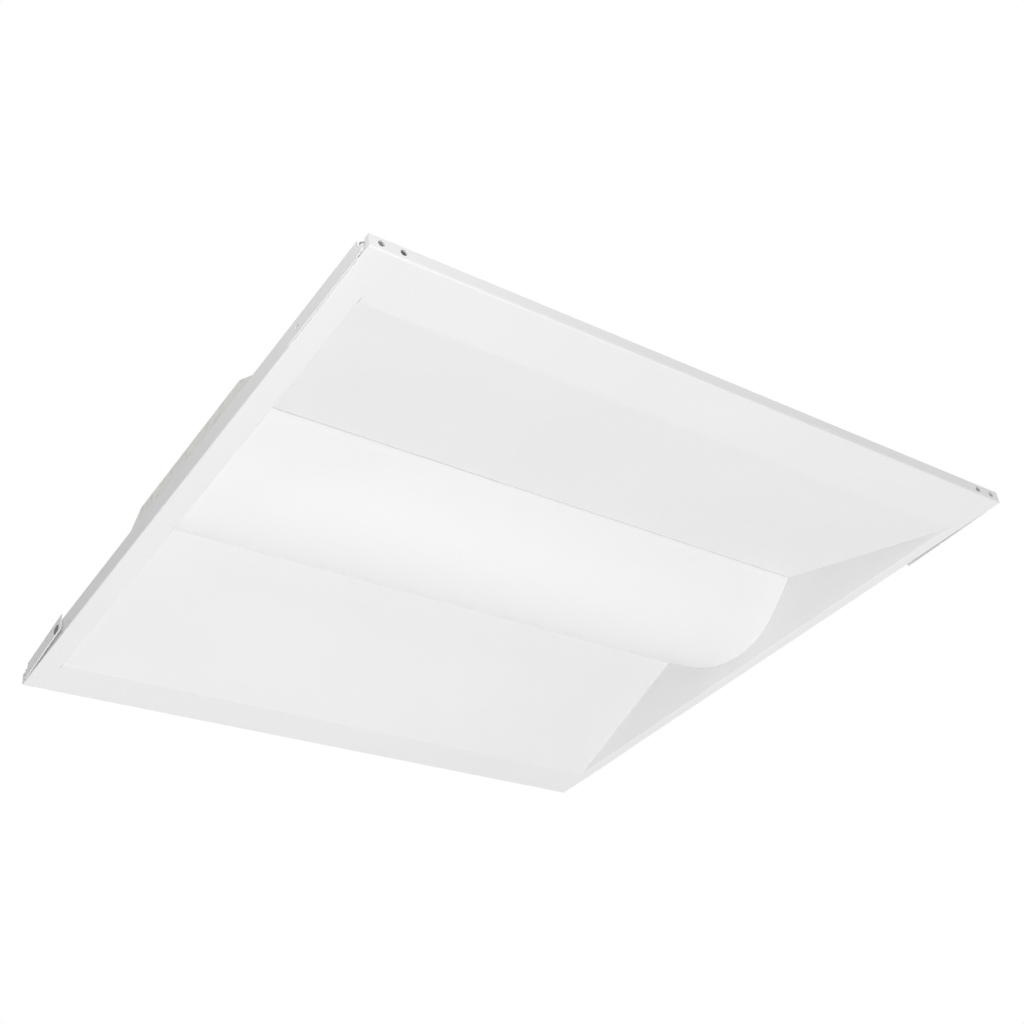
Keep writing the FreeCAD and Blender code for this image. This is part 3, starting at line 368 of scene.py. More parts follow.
def frosted_sheet(name, colour):
    """Extruded diffusing sheet: a satin face with very faint lines along the extrusion."""
    mat = new_material(name, colour, 0.42)
    shader = mat.node_tree.nodes["Principled BSDF"]
    shader.inputs["Subsurface Weight"].default_value = 0.15
    shader.inputs["Subsurface Radius"].default_value = (0.004, 0.004, 0.004)
    shader.inputs["Subsurface Scale"].default_value = 1.0
    shader.inputs["IOR"].default_value = 1.49
    haze = noise(mat, 5.0, 2.0, (0.4, 1, 1))
    tint(mat, haze, colour, (0.3, 0.992), (0.7, 1.006))
    gloss(mat, noise(mat, 700.0, 3.0), (0.3, 0.36), (0.7, 0.48))
    drawn = bump(mat, noise(mat, 90.0, 2.0, (0.02, 1, 1)), 0.03, 0.0006)
    bump(mat, noise(mat, 1800.0, 2.0), 0.05, 0.0002, drawn)
    return mat


def moulded(name, colour, roughness, grain=1400.0, sheen=0.0):
    """Moulded or dipped plastic and rubber: fine grain and slightly uneven gloss."""
    mat = new_material(name, colour, roughness)
    mat.node_tree.nodes["Principled BSDF"].inputs["Sheen Weight"].default_value = sheen
    tone = noise(mat, 60.0, 3.0)
    tint(mat, tone, colour, (0.3, 0.93), (0.7, 1.05))
    gloss(mat, noise(mat, 500.0, 4.0), (0.3, roughness * 0.85), (0.7, roughness * 1.15))
    bump(mat, noise(mat, grain, 3.0), 0.10, 0.0002)
    return mat


def solder_mask(name, colour):
    """Printed board: solder mask over tracks that run along it."""
    mat = new_material(name, colour, 0.35)
    tracks = node(mat, "ShaderNodeTexWave", {"Vector": stretched(mat, (1, 1, 1)), "Scale": 260.0,
                                             "Distortion": 0.0}, bands_direction="Y").outputs["Fac"]
    raised = ramp(mat, tracks, [(0.45, 0.0), (0.55, 1.0)])
    tint(mat, tracks, colour, (0.45, 0.96), (0.55, 1.02))
    gloss(mat, noise(mat, 800.0, 3.0), (0.3, 0.28), (0.7, 0.42))
    bump(mat, raised, 0.15, 0.0001)
    return mat


def phosphor(name, colour):
    """Silicone over phosphor powder."""
    mat = new_material(name, colour, 0.3)
    shader = mat.node_tree.nodes["Principled BSDF"]
    shader.inputs["Coat Weight"].default_value = 0.3
    grain = noise(mat, 4000.0, 2.0)
    tint(mat, grain, colour, (0.35, 0.88), (0.65, 1.08))
    bump(mat, grain, 0.1, 0.0001)
    return mat


MATERIALS = {
    "white_paint": powder_coat("white_paint", (0.86, 0.86, 0.865)),
    "galvanised_steel": galvanised("galvanised_steel", (0.70, 0.71, 0.675)),
    "bare_steel": drawn_steel("bare_steel", (0.62, 0.62, 0.62)),
    "zinc_screw": zinc_plate("zinc_screw", (0.70, 0.71, 0.73)),
    "frosted_acrylic": frosted_sheet("frosted_acrylic", (0.93, 0.93, 0.94)),
    "white_board": solder_mask("white_board", (0.90, 0.90, 0.88)),
    "led_chip": phosphor("led_chip", (0.90, 0.78, 0.35)),
    "white_plastic": moulded("white_plastic", (0.88, 0.88, 0.86), 0.45),
    "red_wire": moulded("red_wire", (0.65, 0.08, 0.06), 0.4),
    "white_wire": moulded("white_wire", (0.85, 0.85, 0.83), 0.4),
    "black_wire": moulded("black_wire", (0.04, 0.04, 0.045), 0.4),
    "green_wire": moulded("green_wire", (0.06, 0.35, 0.12), 0.4),
    "black_rubber": moulded("black_rubber", (0.11, 0.11, 0.10), 0.7, 900.0, 0.2),
    "driver_metal": powder_coat("driver_metal", (0.80, 0.80, 0.80)),
    "green_board": solder_mask("green_board", (0.05, 0.28, 0.12)),
    "dark_core": moulded("dark_core", (0.10, 0.10, 0.11), 0.6, 700.0),
    "black_can": moulded("black_can", (0.05, 0.05, 0.06), 0.3, 2200.0),
}
NODE_SLOT = {row["node"]: row["material_slot"] for row in frame["record"]["subparts"]}


def dress_cad(name, obj):
    """Procedural material and rounded edges, for where no piece replaces the CAD node."""
    obj.data.materials.clear()
    obj.data.materials.append(MATERIALS[NODE_SLOT[name]])
    weld = obj.modifiers.new("weld", "WELD")
    weld.merge_threshold = 0.000002
    flatten = obj.modifiers.new("flatten", "DECIMATE")
    flatten.decimate_type = "DISSOLVE"
    flatten.angle_limit = math.radians(1.0)
    round_off = obj.modifiers.new("round_off", "BEVEL")
    round_off.width = 0.0002
    round_off.segments = 2
    round_off.limit_method = "ANGLE"
    round_off.angle_limit = math.radians(40)
    round_off.harden_normals = True


for node_name, node_object in nodes.items():
    dress_cad(node_name, node_object)


# ---------------------------------------------------------------- mesh building
def add_piece(name, shape, slot, body, replaced=(), smooth=32.0):
    """A shape in millimetres becomes a piece of the light.

    Edges up to smooth degrees are shaded smooth.
    """
    verts, faces = shape
    mesh = bpy.data.meshes.new(name)
    mesh.from_pydata([tuple(c * MM for c in v) for v in verts], [], faces)
    work = bmesh.new()
    work.from_mesh(mesh)
    bmesh.ops.recalc_face_normals(work, faces=work.faces)
    work.to_mesh(mesh)
    work.free()
    mesh.polygons.foreach_set("use_smooth", [True] * len(mesh.polygons))
    mesh.set_sharp_from_angle(angle=math.radians(smooth))
    mesh.materials.append(MATERIALS[slot])
    obj = bpy.data.objects.new(name, mesh)
    bpy.context.scene.collection.objects.link(obj)
    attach(obj, body)
    if replaced:
        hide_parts(*replaced)
    return obj


def joined(*shapes):
    verts, faces = [], []
    for more_verts, more_faces in shapes:
        start = len(verts)
        verts += more_verts
        faces += [tuple(start + i for i in face) for face in more_faces]
    return verts, faces


def moved(shape, place, turn=None):
    matrix = Matrix.Translation(place) @ (turn or Matrix())
    return [tuple(matrix @ Vector(v)) for v in shape[0]], shape[1]


def copies(shape, places, turn=None):
    return joined(*[moved(shape, place, turn) for place in places])


FLIP = Matrix.Rotation(math.pi, 4, "X")


def span(middle, half):
    return (middle - half, middle + half)


def on_side(sign, near, far):
    """From near to far on one side of the middle, in rising order."""
    return sorted((sign * near, sign * far))


def block(xs, ys, zs):
    verts = [(x, y, z) for z in zs for y in ys for x in xs]
    faces = [(0, 2, 3, 1), (4, 5, 7, 6), (0, 1, 5, 4), (2, 6, 7, 3), (0, 4, 6, 2), (1, 3, 7, 5)]
    return verts, faces


def lathe(profile, count):
    """A turned shape about Z, from radius and height pairs that start and end on the axis."""
    verts, rings, faces = [], [], []
    for radius, height in profile:
        start = len(verts)
        steps = count if radius else 1
        verts += [(radius * math.cos(math.tau * k / count), radius * math.sin(math.tau * k / count),
                   height) for k in range(steps)]
        rings.append([start + k % steps for k in range(count + 1)])
    for low, high in zip(rings, rings[1:]):
        for k in range(count):
            corners = (low[k], low[k + 1], high[k + 1], high[k])
            faces.append(tuple(dict.fromkeys(corners)))
    return verts, [face for face in faces if len(face) > 2]


def pillow(xs, ys, low, high, corner, slope, count=6):
    """A flat pad with round corners, such as a pressed panel.  Its sides lean in by slope."""
    west, east, south, north = xs[0] + corner, xs[1] - corner, ys[0] + corner, ys[1] - corner
    outline = []
    for quarter, (cx, cy) in enumerate(((east, north), (west, north), (west, south),
                                        (east, south))):
        for k in range(count + 1):
            angle = math.pi / 2 * (quarter + k / count)
            outline.append((cx, cy, math.cos(angle), math.sin(angle)))
    size = len(outline)
    verts = []
    for inset, height in ((0, low), (slope * 0.5, low + (high - low) * 0.7), (slope, high)):
        verts += [(cx + c * (corner - inset), cy + s * (corner - inset), height)
                  for cx, cy, c, s in outline]
    faces = [tuple(range(size))[::-1], tuple(range(2 * size, 3 * size))]
    for ring in (0, size):
        faces += [(ring + k, ring + (k + 1) % size, ring + size + (k + 1) % size, ring + size + k)
                  for k in range(size)]
    return verts, faces


def carved(shape, *cutters):
    """A shape with other shapes cut out of it."""
    made = []
    for verts, faces in (shape, *cutters):
        mesh = bpy.data.meshes.new("carving")
        mesh.from_pydata(verts, [], faces)
        work = bmesh.new()
        work.from_mesh(mesh)
        bmesh.ops.recalc_face_normals(work, faces=work.faces)
        work.to_mesh(mesh)
        work.free()
        made.append(bpy.data.objects.new("carving", mesh))
        bpy.context.scene.collection.objects.link(made[-1])
    for cutter in made[1:]:
        step = made[0].modifiers.new("cut", "BOOLEAN")
        step.operation = "DIFFERENCE"
        step.solver = "EXACT"
        step.object = cutter
    graph = bpy.context.evaluated_depsgraph_get()
    result = bpy.data.meshes.new_from_object(made[0].evaluated_get(graph))
    out = ([tuple(v.co) for v in result.vertices], [tuple(p.vertices) for p in result.polygons])
    for obj in made:
        bpy.data.objects.remove(obj)
    bpy.data.meshes.remove(result)
    return out


def bent(face, thick, bends, steps=4):
    """Both sides of a bent sheet, point for point.  The sheet lies to the left of the line face.

    bends gives the inner radius at each corner of the line, and 0 makes a sharp corner.
    A bend takes steps + 1 rows of points.
    """
    points = [Vector(p) for p in face]
    rows = []

    def row(point, normal):
        rows.append((point, point + normal * thick))

    def normal_of(a, b):
        along = (b - a).normalized()
        return Vector((-along.y, along.x))

    row(points[0], normal_of(points[0], points[1]))
    for before, corner, after, bend in zip(points, points[1:], points[2:], bends):
        first, second = normal_of(before, corner), normal_of(corner, after)
        turn = first.angle_signed(second)
        if bend == 0:
            row(corner, (first + second).normalized() / math.cos(turn / 2))
            continue
        left = turn < 0
        radius = bend + thick if left else bend
        along_in = (corner - before).normalized()
        reach = radius * math.tan(abs(turn) / 2)
        start = corner - along_in * reach
        centre = start + first * (radius if left else -radius)
        for step in range(steps + 1):
            angle = -turn * step / steps
            normal = Matrix.Rotation(angle, 2) @ first
            point = centre - normal * radius if left else centre + normal * radius
            row(point, normal)
    row(points[-1], normal_of(points[-2], points[-1]))
    return rows


def strip(rows, reach, place):
    """A bent sheet.  reach gives the two ends along its length at each point of its section."""
    verts, faces = [], []
    for front, back in rows:
        verts += [place(point, end) for point in (front, back) for end in reach(point)]
    last = len(rows) - 1
    for i in range(last):
        a, b = 4 * i, 4 * i + 4
        faces += [(a, b, b + 1, a + 1), (a + 2, a + 3, b + 3, b + 2),
                  (a, a + 2, b + 2, b), (a + 1, b + 1, b + 3, a + 3)]
    end = 4 * last
    faces += [(0, 1, 3, 2), (end, end + 2, end + 3, end + 1)]
    return verts, faces


def soften(obj, width):
    """Rounds every sharp edge."""
    edge = obj.modifiers.new("soften", "BEVEL")
    edge.width = width * MM
    edge.segments = 2
    edge.limit_method = "ANGLE"
    edge.angle_limit = math.radians(60)
    edge.harden_normals = True


def soften_along(obj, axis, width):
    """Rounds the free edges of a lip, which run along one axis, and leaves flush joints closed."""
    mesh = obj.data
    work = bmesh.new()
    work.from_mesh(mesh)
    work.edges.ensure_lookup_table()
    weights = []
    for edge in work.edges:
        line = edge.verts[1].co - edge.verts[0].co
        along = abs(line[axis]) > 0.99 * line.length
        sharp = len(edge.link_faces) == 2 and edge.calc_face_angle(0) > math.radians(60)
        free = edge.verts[0].co.z > FREE_EDGE * MM
        weights.append(1.0 if along and sharp and free else 0.0)
    work.free()
    layer = mesh.attributes.new("bevel_weight_edge", "FLOAT", "EDGE")
    layer.data.foreach_set("value", weights)
    edge = obj.modifiers.new("soften", "BEVEL")
    edge.width = width * MM
    edge.segments = 2
    edge.limit_method = "WEIGHT"
    edge.harden_normals = True


# ---------------------------------------------------------------- housing sheets
KNEE = OPENING + STEEL + 0.9    # bend of the channel's top, beside the reflector's fold
SIDE_SLOPE = 0.532              # fall of the channel's sides
SIDE_THICK = STEEL * math.hypot(1, SIDE_SLOPE)
SLOPE_CHANGE = SIDE_SLOPE - SLOPE
KNEE_REFLECTOR = (CREASE - KNEE) * SLOPE
FOOT_INNER = KNEE + (CHANNEL_TOP - SIDE_THICK - BACK - KNEE_REFLECTOR) / SLOPE_CHANGE
KNEE_UNDER = KNEE + (STEEL - SIDE_THICK) / SIDE_SLOPE
KNEE_LEVEL = reflector_top(FOOT_INNER) + WALL_EDGE
KNEE_GAP = 0.3                  # between an end wall and the channel's sloped side
ALONG_X, ALONG_Y = 0, 1


def knee_line(height):
    """Half width of an end wall under the channel's sloped side."""
    foot = reflector_top(FOOT_INNER)
    share = (height - foot) / (CHANNEL_UNDER - foot)
    return FOOT_INNER + (KNEE_UNDER - FOOT_INNER) * share - KNEE_GAP


def hole_pin(place, radius, reach, axis="Y", count=24):
    """A round cutter that reaches as far to both sides of its place, along an axis."""
    turn = Matrix.Rotation(math.pi / 2, 4, "X" if axis == "Y" else "Y")
    profile = [(0, -reach), (radius, -reach), (radius, reach), (0, reach)]
    return moved(lathe(profile, count), place, turn)


def side_reflector(side):
    """Flange, slope, flat band and outer lip, from the lens to the light's side."""
    sign = SIDES[side]
    face = [(OPENING - INNER_FLANGE, FLANGE_UNDER), (OPENING, FLANGE_UNDER), (OPENING, RISE),
            (CREASE, 0), (HALF, 0), (HALF, SIDE_LIP)]
    rows = bent(face, STEEL, [BEND, TIGHT_BEND, BEND, BEND])

    def place(point, x):
        return (x, sign * point.x, point.y)

    def between_walls(point):
        return (-wall_inner("front", point.y), wall_inner("rear", point.y))

    sheet = strip(rows[:-BEND_ROWS], between_walls, place)
    lip = strip(rows[-BEND_ROWS - 1:], lambda point: (-HALF, HALF), place)
    spots = [along * (HALF - inset) for along in ENDS.values() for inset in HOLE_INSETS]
    through = 4.0
    holes = [hole_pin((x, sign * HALF, HOLE_HEIGHT), HOLE_RADIUS, through) for x in spots]
    piece = add_piece(f"{side}_reflector_sheet", joined(sheet, carved(lip, *holes)), "white_paint",
                      "housing", [f"{side}_reflector"])
    soften_along(piece, ALONG_X, EDGE_ROUND)


def end_plate(end):
    """Flange, leaning wall, strip and outer lip, with a notch for a clip at each corner."""
    sign = ENDS[end]
    foot = HALF - STRIPS[end]
    top = wall_inner(end, FLANGE_UNDER)
    face = [(top - END_FLANGE, FLANGE_UNDER), (top, FLANGE_UNDER), (foot, 0), (HALF, 0),
            (HALF, END_LIP)]
    rows = bent(face, STEEL, [BEND, TIGHT_BEND, BEND])
    inner, lip_bend, lip_top = rows[:-BEND_ROWS - 1], rows[-BEND_ROWS - 1:-1], rows[-1]
    joint = foot + 2.0          # the wall's rows of faces end here and the strip's begin
    joint_row = (Vector((joint, 0)), Vector((joint, STEEL)))
    row_height = 4.0

    def place(point, y):
        return (sign * point.x, y, point.y)

    wall_rows = []
    for (f0, b0), (f1, b1) in zip(inner, inner[1:] + [joint_row]):
        count = max(1, round((f1 - f0).length / row_height))
        wall_rows += [(f0.lerp(f1, k / count), b0.lerp(b1, k / count)) for k in range(count)]
    wall_rows.append(joint_row)

    def wall_reach(point):
        x, z = point
        if x < top - STEEL:
            return (-END_FLANGE_HALF, END_FLANGE_HALF)
        edge = CREASE - (z - BACK - WALL_EDGE) / SLOPE if z < KNEE_LEVEL else knee_line(z)
        edge = min(WALL_HALF, max(END_FLANGE_HALF, edge))
        return (-edge, edge)

    strip_half = HALF - (BEND + STEEL)
    pin = HALF - PIN_INSET
    shapes = [strip(wall_rows, wall_reach, place),
              strip([joint_row] + lip_bend, lambda point: (-strip_half, strip_half), place),
              strip([lip_bend[-1], lip_top], lambda point: span(0, pin - NOTCH_HALF), place)]
    corner_top = (Vector((HALF, SIDE_LIP)), Vector((HALF - STEEL, SIDE_LIP)))
    for side in SIDES.values():
        shapes.append(block(on_side(sign, foot, joint), on_side(side, WALL_HALF, strip_half),
                            (0, STEEL)))
        corner = on_side(side, pin + NOTCH_HALF, HALF - STEEL)
        shapes.append(strip([lip_bend[-1], corner_top], lambda point: corner, place))
    piece = add_piece(f"{end}_end_sheet", joined(*shapes), "white_paint", "housing",
                      [f"{end}_end_plate"])
    soften_along(piece, ALONG_Y, EDGE_ROUND)


def lens():
    """One extruded sheet: a bow with flat flanks and two upright legs."""
    edge = OPENING - LENS_GAP
    drop = math.sqrt(LENS_RADIUS ** 2 - LENS_ARC_HALF ** 2)
    centre = LENS_LOW + LENS_RADIUS
    slope = LENS_ARC_HALF / drop
    spread = math.asin(LENS_ARC_HALF / LENS_RADIUS)
    half_steps = 40
    angles = [spread * (k / half_steps - 1) for k in range(2 * half_steps + 1)]
    arc = [(LENS_RADIUS * math.sin(a), centre - LENS_RADIUS * math.cos(a)) for a in angles]
    flank = centre - drop + (edge - LENS_ARC_HALF) * slope
    face = [(-edge, LENS_LEG_TOP), (-edge, flank), *arc, (edge, flank), (edge, LENS_LEG_TOP)]
    arc_bend = 0.6
    rows = bent(face, LENS_WALL, [0, *[arc_bend] * len(arc), 0], steps=3)

    def between_walls(point):
        return (LENS_GAP - wall_inner("front", point.y), wall_inner("rear", point.y) - LENS_GAP)

    shape = strip(rows, between_walls, lambda point, x: (x, point.x, point.y))
    soften(add_piece("lens_sheet", shape, "frosted_acrylic", "lens_body", ["lens"]), 0.3)


def raised_mark():
    """Small plain pressed mark on the near side lip."""
    along, height = 99.5, 5.2
    pad = pillow(span(0, 3.5), span(0, 2.0), 0.0, 0.35, 0.9, 0.5)
    pad = moved(pad, (along, -HALF, height), Matrix.Rotation(math.pi / 2, 4, "X"))
    add_piece("lip_mark", pad, "white_paint", "housing")


def clip_shade_pads():
    """Black rubber pads over the eyes near the tips of the two open grid clips: painted shade, a
    dark patch that stands in for the shade in the eye and in the gap behind the tip.
    """
    from_pin, height = 83.5, 5.2
    for end, side in OPEN_CLIPS:
        sx, sy = ENDS[end], SIDES[side]
        upright = Matrix(((0, 0, sx, 0), (1, 0, 0, 0), (0, 1, 0, 0), (0, 0, 0, 1)))
        # painted shade: this black pad marks where the eye and the gap behind the open arm fall
        # dark
        pad = pillow(span(0, 5.0), span(0, 3.0), 0.0, 0.6, 2.0, 0.35)
        pad = moved(pad, (sx * CLIP_FACE, -sy * from_pin, height), upright)
        pin = (sx * PIN_OUT, sy * (HALF - PIN_INSET), 0)
        pad = moved(pad, pin, Matrix.Rotation(math.radians(OPEN_CLIP_ANGLE), 4, "Z"))
        add_piece(f"clip_shade_pad_{end}_{side}", pad, "black_rubber", f"clip_{end}_{side}")


def bracket_pockets():
    """Drawn pockets on the corner brackets, behind the hanging holes."""
    back = HALF - STEEL - BRACKET_STEEL
    pockets = []
    for sx in ENDS.values():
        x = sx * (HALF - HOLE_INSETS[1])
        for sy in SIDES.values():
            shell = pillow(span(x, 5.5), on_side(sy, back + 0.3, back - 7.5), STEEL + 0.1, 9.8,
                           1.2, 0.3, 4)
            hollow = block(span(x, 4.9), on_side(sy, back + 1.0, back - 6.9), (0.0, 9.3))
            pockets.append(carved(shell, hollow))
    add_piece("bracket_pockets", joined(*pockets), "galvanised_steel", "housing")


# ---------------------------------------------------------------- fasteners
LENS_REACH = {end: wall_inner(end, LENS_LEG_TOP) - LENS_GAP for end in ENDS}
LENS_MIDDLE = (LENS_REACH["rear"] - LENS_REACH["front"]) / 2
FLANGE_REACH = {end: wall_inner(end, CHANNEL_UNDER) - END_FLANGE for end in ENDS}
BOARD_LENGTH = ((FLANGE_REACH["rear"] + FLANGE_REACH["front"]) / 2 - BOARD_END_GAP
                - BOARD_JOINT_HALF)
BOARD_STARTS = {"front": LENS_MIDDLE - BOARD_JOINT_HALF - BOARD_LENGTH,
                "rear": LENS_MIDDLE + BOARD_JOINT_HALF}
BOARD_LOW = CHANNEL_UNDER - BOARD_THICK
BOARD_SCREWS = {end: [BOARD_STARTS[end] + BOARD_LENGTH * share for share in BOARD_SCREW_SHARES]
                for end in ENDS}


def screw_shape(length):
    """Pan head screw with a cross recess.  The head stands up from height 0."""
    head, thick = SCREW_HEAD, SCREW_HEAD_THICK
    body = lathe([(0, -length), (SCREW_RADIUS - 0.5, -length), (SCREW_RADIUS, 0.5 - length),
                  (SCREW_RADIUS, 0), (head, 0), (head, thick * 0.3), (head * 0.93, thick * 0.62),
                  (head * 0.72, thick * 0.88), (head * 0.36, thick * 0.99), (0, thick)], 32)
    long, short, deep = span(0, 1.75), span(0, 0.38), (thick - 1.2, thick + 1)
    return carved(body, block(long, short, deep), block(short, long, deep))


def rivet_shape(length):
    """Blind rivet: a low dome with the broken mandrel in it, and the set bulb above."""
    return lathe([(0, -0.35), (0.8, -0.4), (0.95, -0.85), (1.5, -RIVET_HEAD_THICK), (2.4, -0.66),
                  (RIVET_HEAD, -0.2), (RIVET_HEAD, 0), (RIVET_RADIUS, 0), (RIVET_RADIUS, length),
                  (2.9, length), (RIVET_HEAD, length + 0.3), (2.6, length + 0.72),
                  (1.5, length + RIVET_HEAD_THICK), (0, length + RIVET_HEAD_THICK)], 28)


def screws(name, spots, low, high, head_down=False):
    """Screws of one kind, whose recesses all point another way."""
    shape = screw_shape(high - low)
    if head_down:
        shape = moved(shape, (0, 0, low), FLIP)
    else:
        shape = moved(shape, (0, 0, high))
    first_turn, turn_step = 0.3, 0.7
    turned = [moved(shape, (x, y, 0), Matrix.Rotation(turn_step * number + first_turn, 4, "Z"))
              for number, (x, y) in enumerate(spots)]
    add_piece(name + "_heads", joined(*turned), "zinc_screw", "housing", [name], SMALL_SMOOTH)


def rivets(name, spots, low, replaced):
    shape = rivet_shape(CHANNEL_TOP - low)
    add_piece(name, copies(shape, [(x, y, low) for x, y in spots]), "bare_steel", "housing",
              [replaced], SMALL_SMOOTH)


def fasteners():
    clip_sheet, clip_row = 0.6, 80.0
    rivets("channel_rivet_heads",
           [(LENS_MIDDLE + LENS_CLIP_PITCH * step, clip_row * side)
            for side in SIDES.values() for step in (-1.5, -0.5, 0.5, 1.5)],
           FLANGE_UNDER - clip_sheet, "channel_rivets")
    flange_middle, end_pitch = 5.0, 45.0
    rivets("end_rivet_heads",
           [(ENDS[end] * (FLANGE_REACH[end] + flange_middle), end_pitch * step)
            for end in ENDS for step in (-1, 0, 1)], FLANGE_UNDER, "end_plate_rivets")
    boards = [(x, BOARD_ROW * side)
              for end in ENDS for x in BOARD_SCREWS[end] for side in SIDES.values()]
    screws("board_screws", boards, BOARD_LOW, CHANNEL_TOP, head_down=True)
    corners = [(x, y) for x in (-198.0, 198.0) for y in (-50.0, 50.0)]
    screws("box_screws", corners, CHANNEL_UNDER, BOX_FLOOR)
    driver_ears = [(-106.0, DRIVER_ACROSS), (136.0, DRIVER_ACROSS)]
    screws("driver_screws", driver_ears, CHANNEL_UNDER, BOX_FLOOR + DRIVER_STEEL)
    screws("ground_screw", [(-150.0, 24.0)], CHANNEL_UNDER, BOX_FLOOR + DRIVER_STEEL)


# ---------------------------------------------------------------- LED boards
def chip_places(end):
    """Middles of the chips along a board, with the gaps at its screws."""
    plug_room = PLUG_INSET + PLUG_LENGTH
    pitch = (BOARD_LENGTH - 2 * CHIP_MARGIN - plug_room - CHIP_SIDE) / (CHIPS_PER_BOARD - 1)
    first = BOARD_STARTS[end] + CHIP_MARGIN + (plug_room if end == "rear" else 0)
    places = [first + pitch * number + CHIP_SIDE / 2 for number in range(CHIPS_PER_BOARD)]
    clear = SCREW_HEAD + CHIP_SIDE
    return [x for x in places if min(abs(x - screw) for screw in BOARD_SCREWS[end]) >= clear]


def led_chips():
    """A package with its well, the phosphor in the well, and two pads, for each chip."""
    half = CHIP_SIDE / 2
    well = lathe([(0, 0.3), (1.0, 0.3), (1.2, -0.5), (0, -0.5)], 20)
    package = carved(pillow(span(0, half), span(0, half), 0.0, CHIP_THICK, 0.25, 0.12, 2),
                     moved(well, (0, 0, 0.55), FLIP))
    dome = lathe([(0, 0.2), (1.05, 0.2), (1.1, 0.5), (0.6, 0.63), (0, 0.67)], 20)
    pads = joined(*[block(span(x, 0.35), span(0, 1.1), (-0.02, 0.08)) for x in (-1.75, 1.75)])
    for end in ENDS:
        for side, sign in SIDES.items():
            spots = [(x, BOARD_ROW * sign, BOARD_LOW) for x in chip_places(end)]
            place = f"{end}_{side}"
            add_piece(f"led_packages_{place}", copies(package, spots, FLIP), "white_plastic",
                      "housing", [f"led_chips_{place}"], SMALL_SMOOTH)
            add_piece(f"led_phosphor_{place}", copies(dome, spots, FLIP), "led_chip", "housing",
                      (), 40.0)
            add_piece(f"led_pads_{place}", copies(pads, spots, FLIP), "zinc_screw", "housing")


def board_plugs():
    """Latched wire plugs beside the joint between the boards."""
    near = BOARD_JOINT_HALF + PLUG_INSET
    rim_low, body_low, latch_low = BOARD_LOW - 1.6, BOARD_LOW - 4.1, BOARD_LOW - 3.4
    shapes = []
    for sign in ENDS.values():
        low, high = sorted((LENS_MIDDLE + sign * near, LENS_MIDDLE + sign * (near + PLUG_LENGTH)))
        for side in SIDES.values():
            y = BOARD_ROW * side
            shapes += [block((low, high), span(y, 4.0), (rim_low, BOARD_LOW)),
                       block((low + 0.5, high - 0.5), span(y, 3.4), (body_low, rim_low)),
                       block((low + 3.4, high - 3.4), span(y, 3.9), (latch_low, rim_low))]
            shapes += [block(span(x, 0.3), span(y, 3.0), (BOARD_LOW - 4.5, body_low))
                       for x in (low + 1.6, low + 5.0, high - 1.6)]
    soften(add_piece("board_plug_shells", joined(*shapes), "white_plastic", "housing",
                     ["board_plugs"]), 0.15)


# ---------------------------------------------------------------- back of the light
def channel_beads():
    """Stiffening beads pressed into the channel's top, round the driver box."""
    half, low, high = 3.0, CHANNEL_TOP - 0.1, CHANNEL_TOP + 0.8
    spans = [((-252.0, 258.0), span(y, half)) for y in (-70.5, 70.5)]
    spans += [(span(x, half), span(0, 52.0)) for x in (-236.0, 238.0)]
    corner, slope = 2.99, 1.6
    beads = [pillow(xs, ys, low, high, corner, slope, 8) for xs, ys in spans]
    add_piece("channel_beads", joined(*beads), "galvanised_steel", "housing", (), 60.0)


def cover_beads():
    """Pressed frame and finger ribs of the access cover."""
    top = BOX_TOP + BOX_STEEL
    rim = pillow(span(0, 190.0), (-46.0, 42.0), top - 0.1, top + 0.6, 6.0, 1.4)
    hollow = pillow(span(0, 183.0), (-39.0, 35.0), top - 0.5, top + 2.0, 3.0, 0.0)
    ribs = [pillow(span(x, 0.8), (-54.0, -49.5), top - 0.1, top + 0.5, 0.79, 0.4)
            for x in (-8.0, -4.0, 0.0, 4.0, 8.0)]
    add_piece("cover_beads", joined(carved(rim, hollow), *ribs), "galvanised_steel",
              "cover_body", (), 50.0)


def knockouts():
    """Slugs of the closed knockouts, each with a score ring, a pry slot and its ties."""
    radius, out = 11.0, 209.6
    plate = lathe([(0, -0.4), (9.2, -0.4), (9.5, -0.25), (9.8, -0.4), (10.9, -0.4),
                   (radius, -0.3), (radius, 0.3), (10.9, 0.4), (9.8, 0.4), (9.5, 0.25),
                   (9.2, 0.4), (0, 0.4)], 48)
    slug = carved(plate, block(span(0, 3.0), span(0, 0.5), (0.1, 2)))
    ties = [block(span(0, 0.9), span(s * radius, 0.6), (-0.3, 0.3)) for s in (-1, 1)]
    shapes = []
    for sign, side in ((-1, -1), (1, -1), (1, 1)):
        outward = Matrix.Rotation(sign * math.pi / 2, 4, "Y")
        place = (sign * out, side * KNOCKOUT_ACROSS, CHANNEL_TOP + KNOCKOUT_HEIGHT)
        shapes.append(moved(joined(slug, *ties), place, outward))
    add_piece("knockout_slug_plates", joined(*shapes), "galvanised_steel", "housing",
              ["knockout_slugs"], SMALL_SMOOTH)


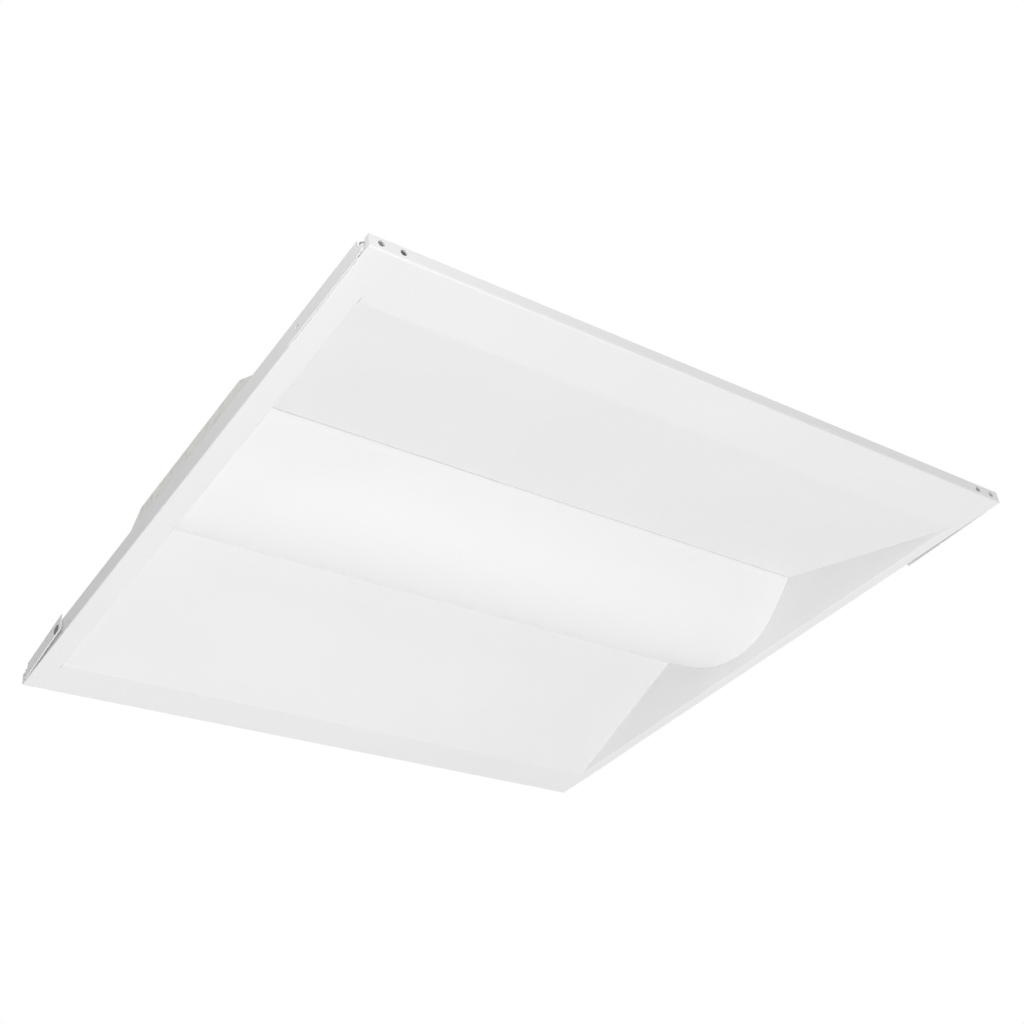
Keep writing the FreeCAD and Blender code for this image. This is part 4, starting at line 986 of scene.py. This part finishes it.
def driver_lid():
    """Pressed frame on the driver's lid, and the rivets at its corners."""
    top = BOX_FLOOR + DRIVER_HEIGHT
    rim = pillow((-92.0, 122.0), (-43.5, -16.5), top - 0.1, top + 0.35, 3.0, 0.6)
    hollow = pillow((-89.5, 119.5), (-41.0, -19.0), top - 0.4, top + 2.0, 1.5, 0.0)
    rivet = lathe([(0, -0.2), (1.9, -0.2), (1.8, 0.25), (1.1, 0.55), (0, 0.62)], 20)
    corners = [(x, y, top) for x in (-96.0, 126.0) for y in (-44.0, -16.0)]
    add_piece("driver_lid_beads", joined(carved(rim, hollow), copies(rivet, corners)),
              "driver_metal", "housing", (), 40.0)


def driver_terminals():
    """Terminal blocks whose faces have wire entries and push tabs."""
    low = BOX_FLOOR + DRIVER_STEEL + DRIVER_BOARD_LIFT + BOARD_THICK
    entry_height = low + TERMINAL_HEIGHT / 2 - 1.9
    ways = [DRIVER_ACROSS + 5.0 * step for step in (-1.5, -0.5, 0.5, 1.5)]
    shapes = []
    for xs, face, front, spread in (((-100.0, -84.0), -1, -100.0, 3.0),
                                    ((114.0, 130.0), 1, 130.0, 4.2)):
        body = block(xs, span(DRIVER_ACROSS, 11.0), (low, low + TERMINAL_HEIGHT))
        entries = [hole_pin((front, DRIVER_ACROSS + step * spread, entry_height), 1.25, 5.0,
                            "X", 16) for step in (-1, 1)]
        slots = [block(span(front, 0.6), span(y, 1.6), (low + 8.2, low + 10.6)) for y in ways]
        tab = sorted((front - face * 0.9, front + face * 0.2))
        tabs = [block(tab, span(y, 1.3), (low + 8.5, low + 10.3)) for y in ways]
        shapes.append(joined(carved(body, *entries, *slots), *tabs))
    soften(add_piece("driver_terminal_faces", joined(*shapes), "white_plastic", "housing",
                     ["driver_terminals"]), 0.12)


def connector_levers():
    """Three release levers on the wiring connector."""
    top = BOX_FLOOR + CONNECTOR_HEIGHT
    levers = []
    for step in (-1, 0, 1):
        y = DRIVER_ACROSS + CONNECTOR_PITCH * step
        levers += [block((-188.0, -172.0), span(y, 2.3), (top - 0.2, top + 0.9)),
                   block((-176.0, -172.6), span(y, 2.0), (top + 0.6, top + 1.4))]
    soften(add_piece("connector_levers", joined(*levers), "white_plastic", "housing"), 0.3)


for side in SIDES:
    side_reflector(side)
for end in ENDS:
    end_plate(end)
lens()
raised_mark()
clip_shade_pads()
bracket_pockets()
fasteners()
led_chips()
board_plugs()
channel_beads()
cover_beads()
knockouts()
driver_lid()
driver_terminals()
connector_levers()
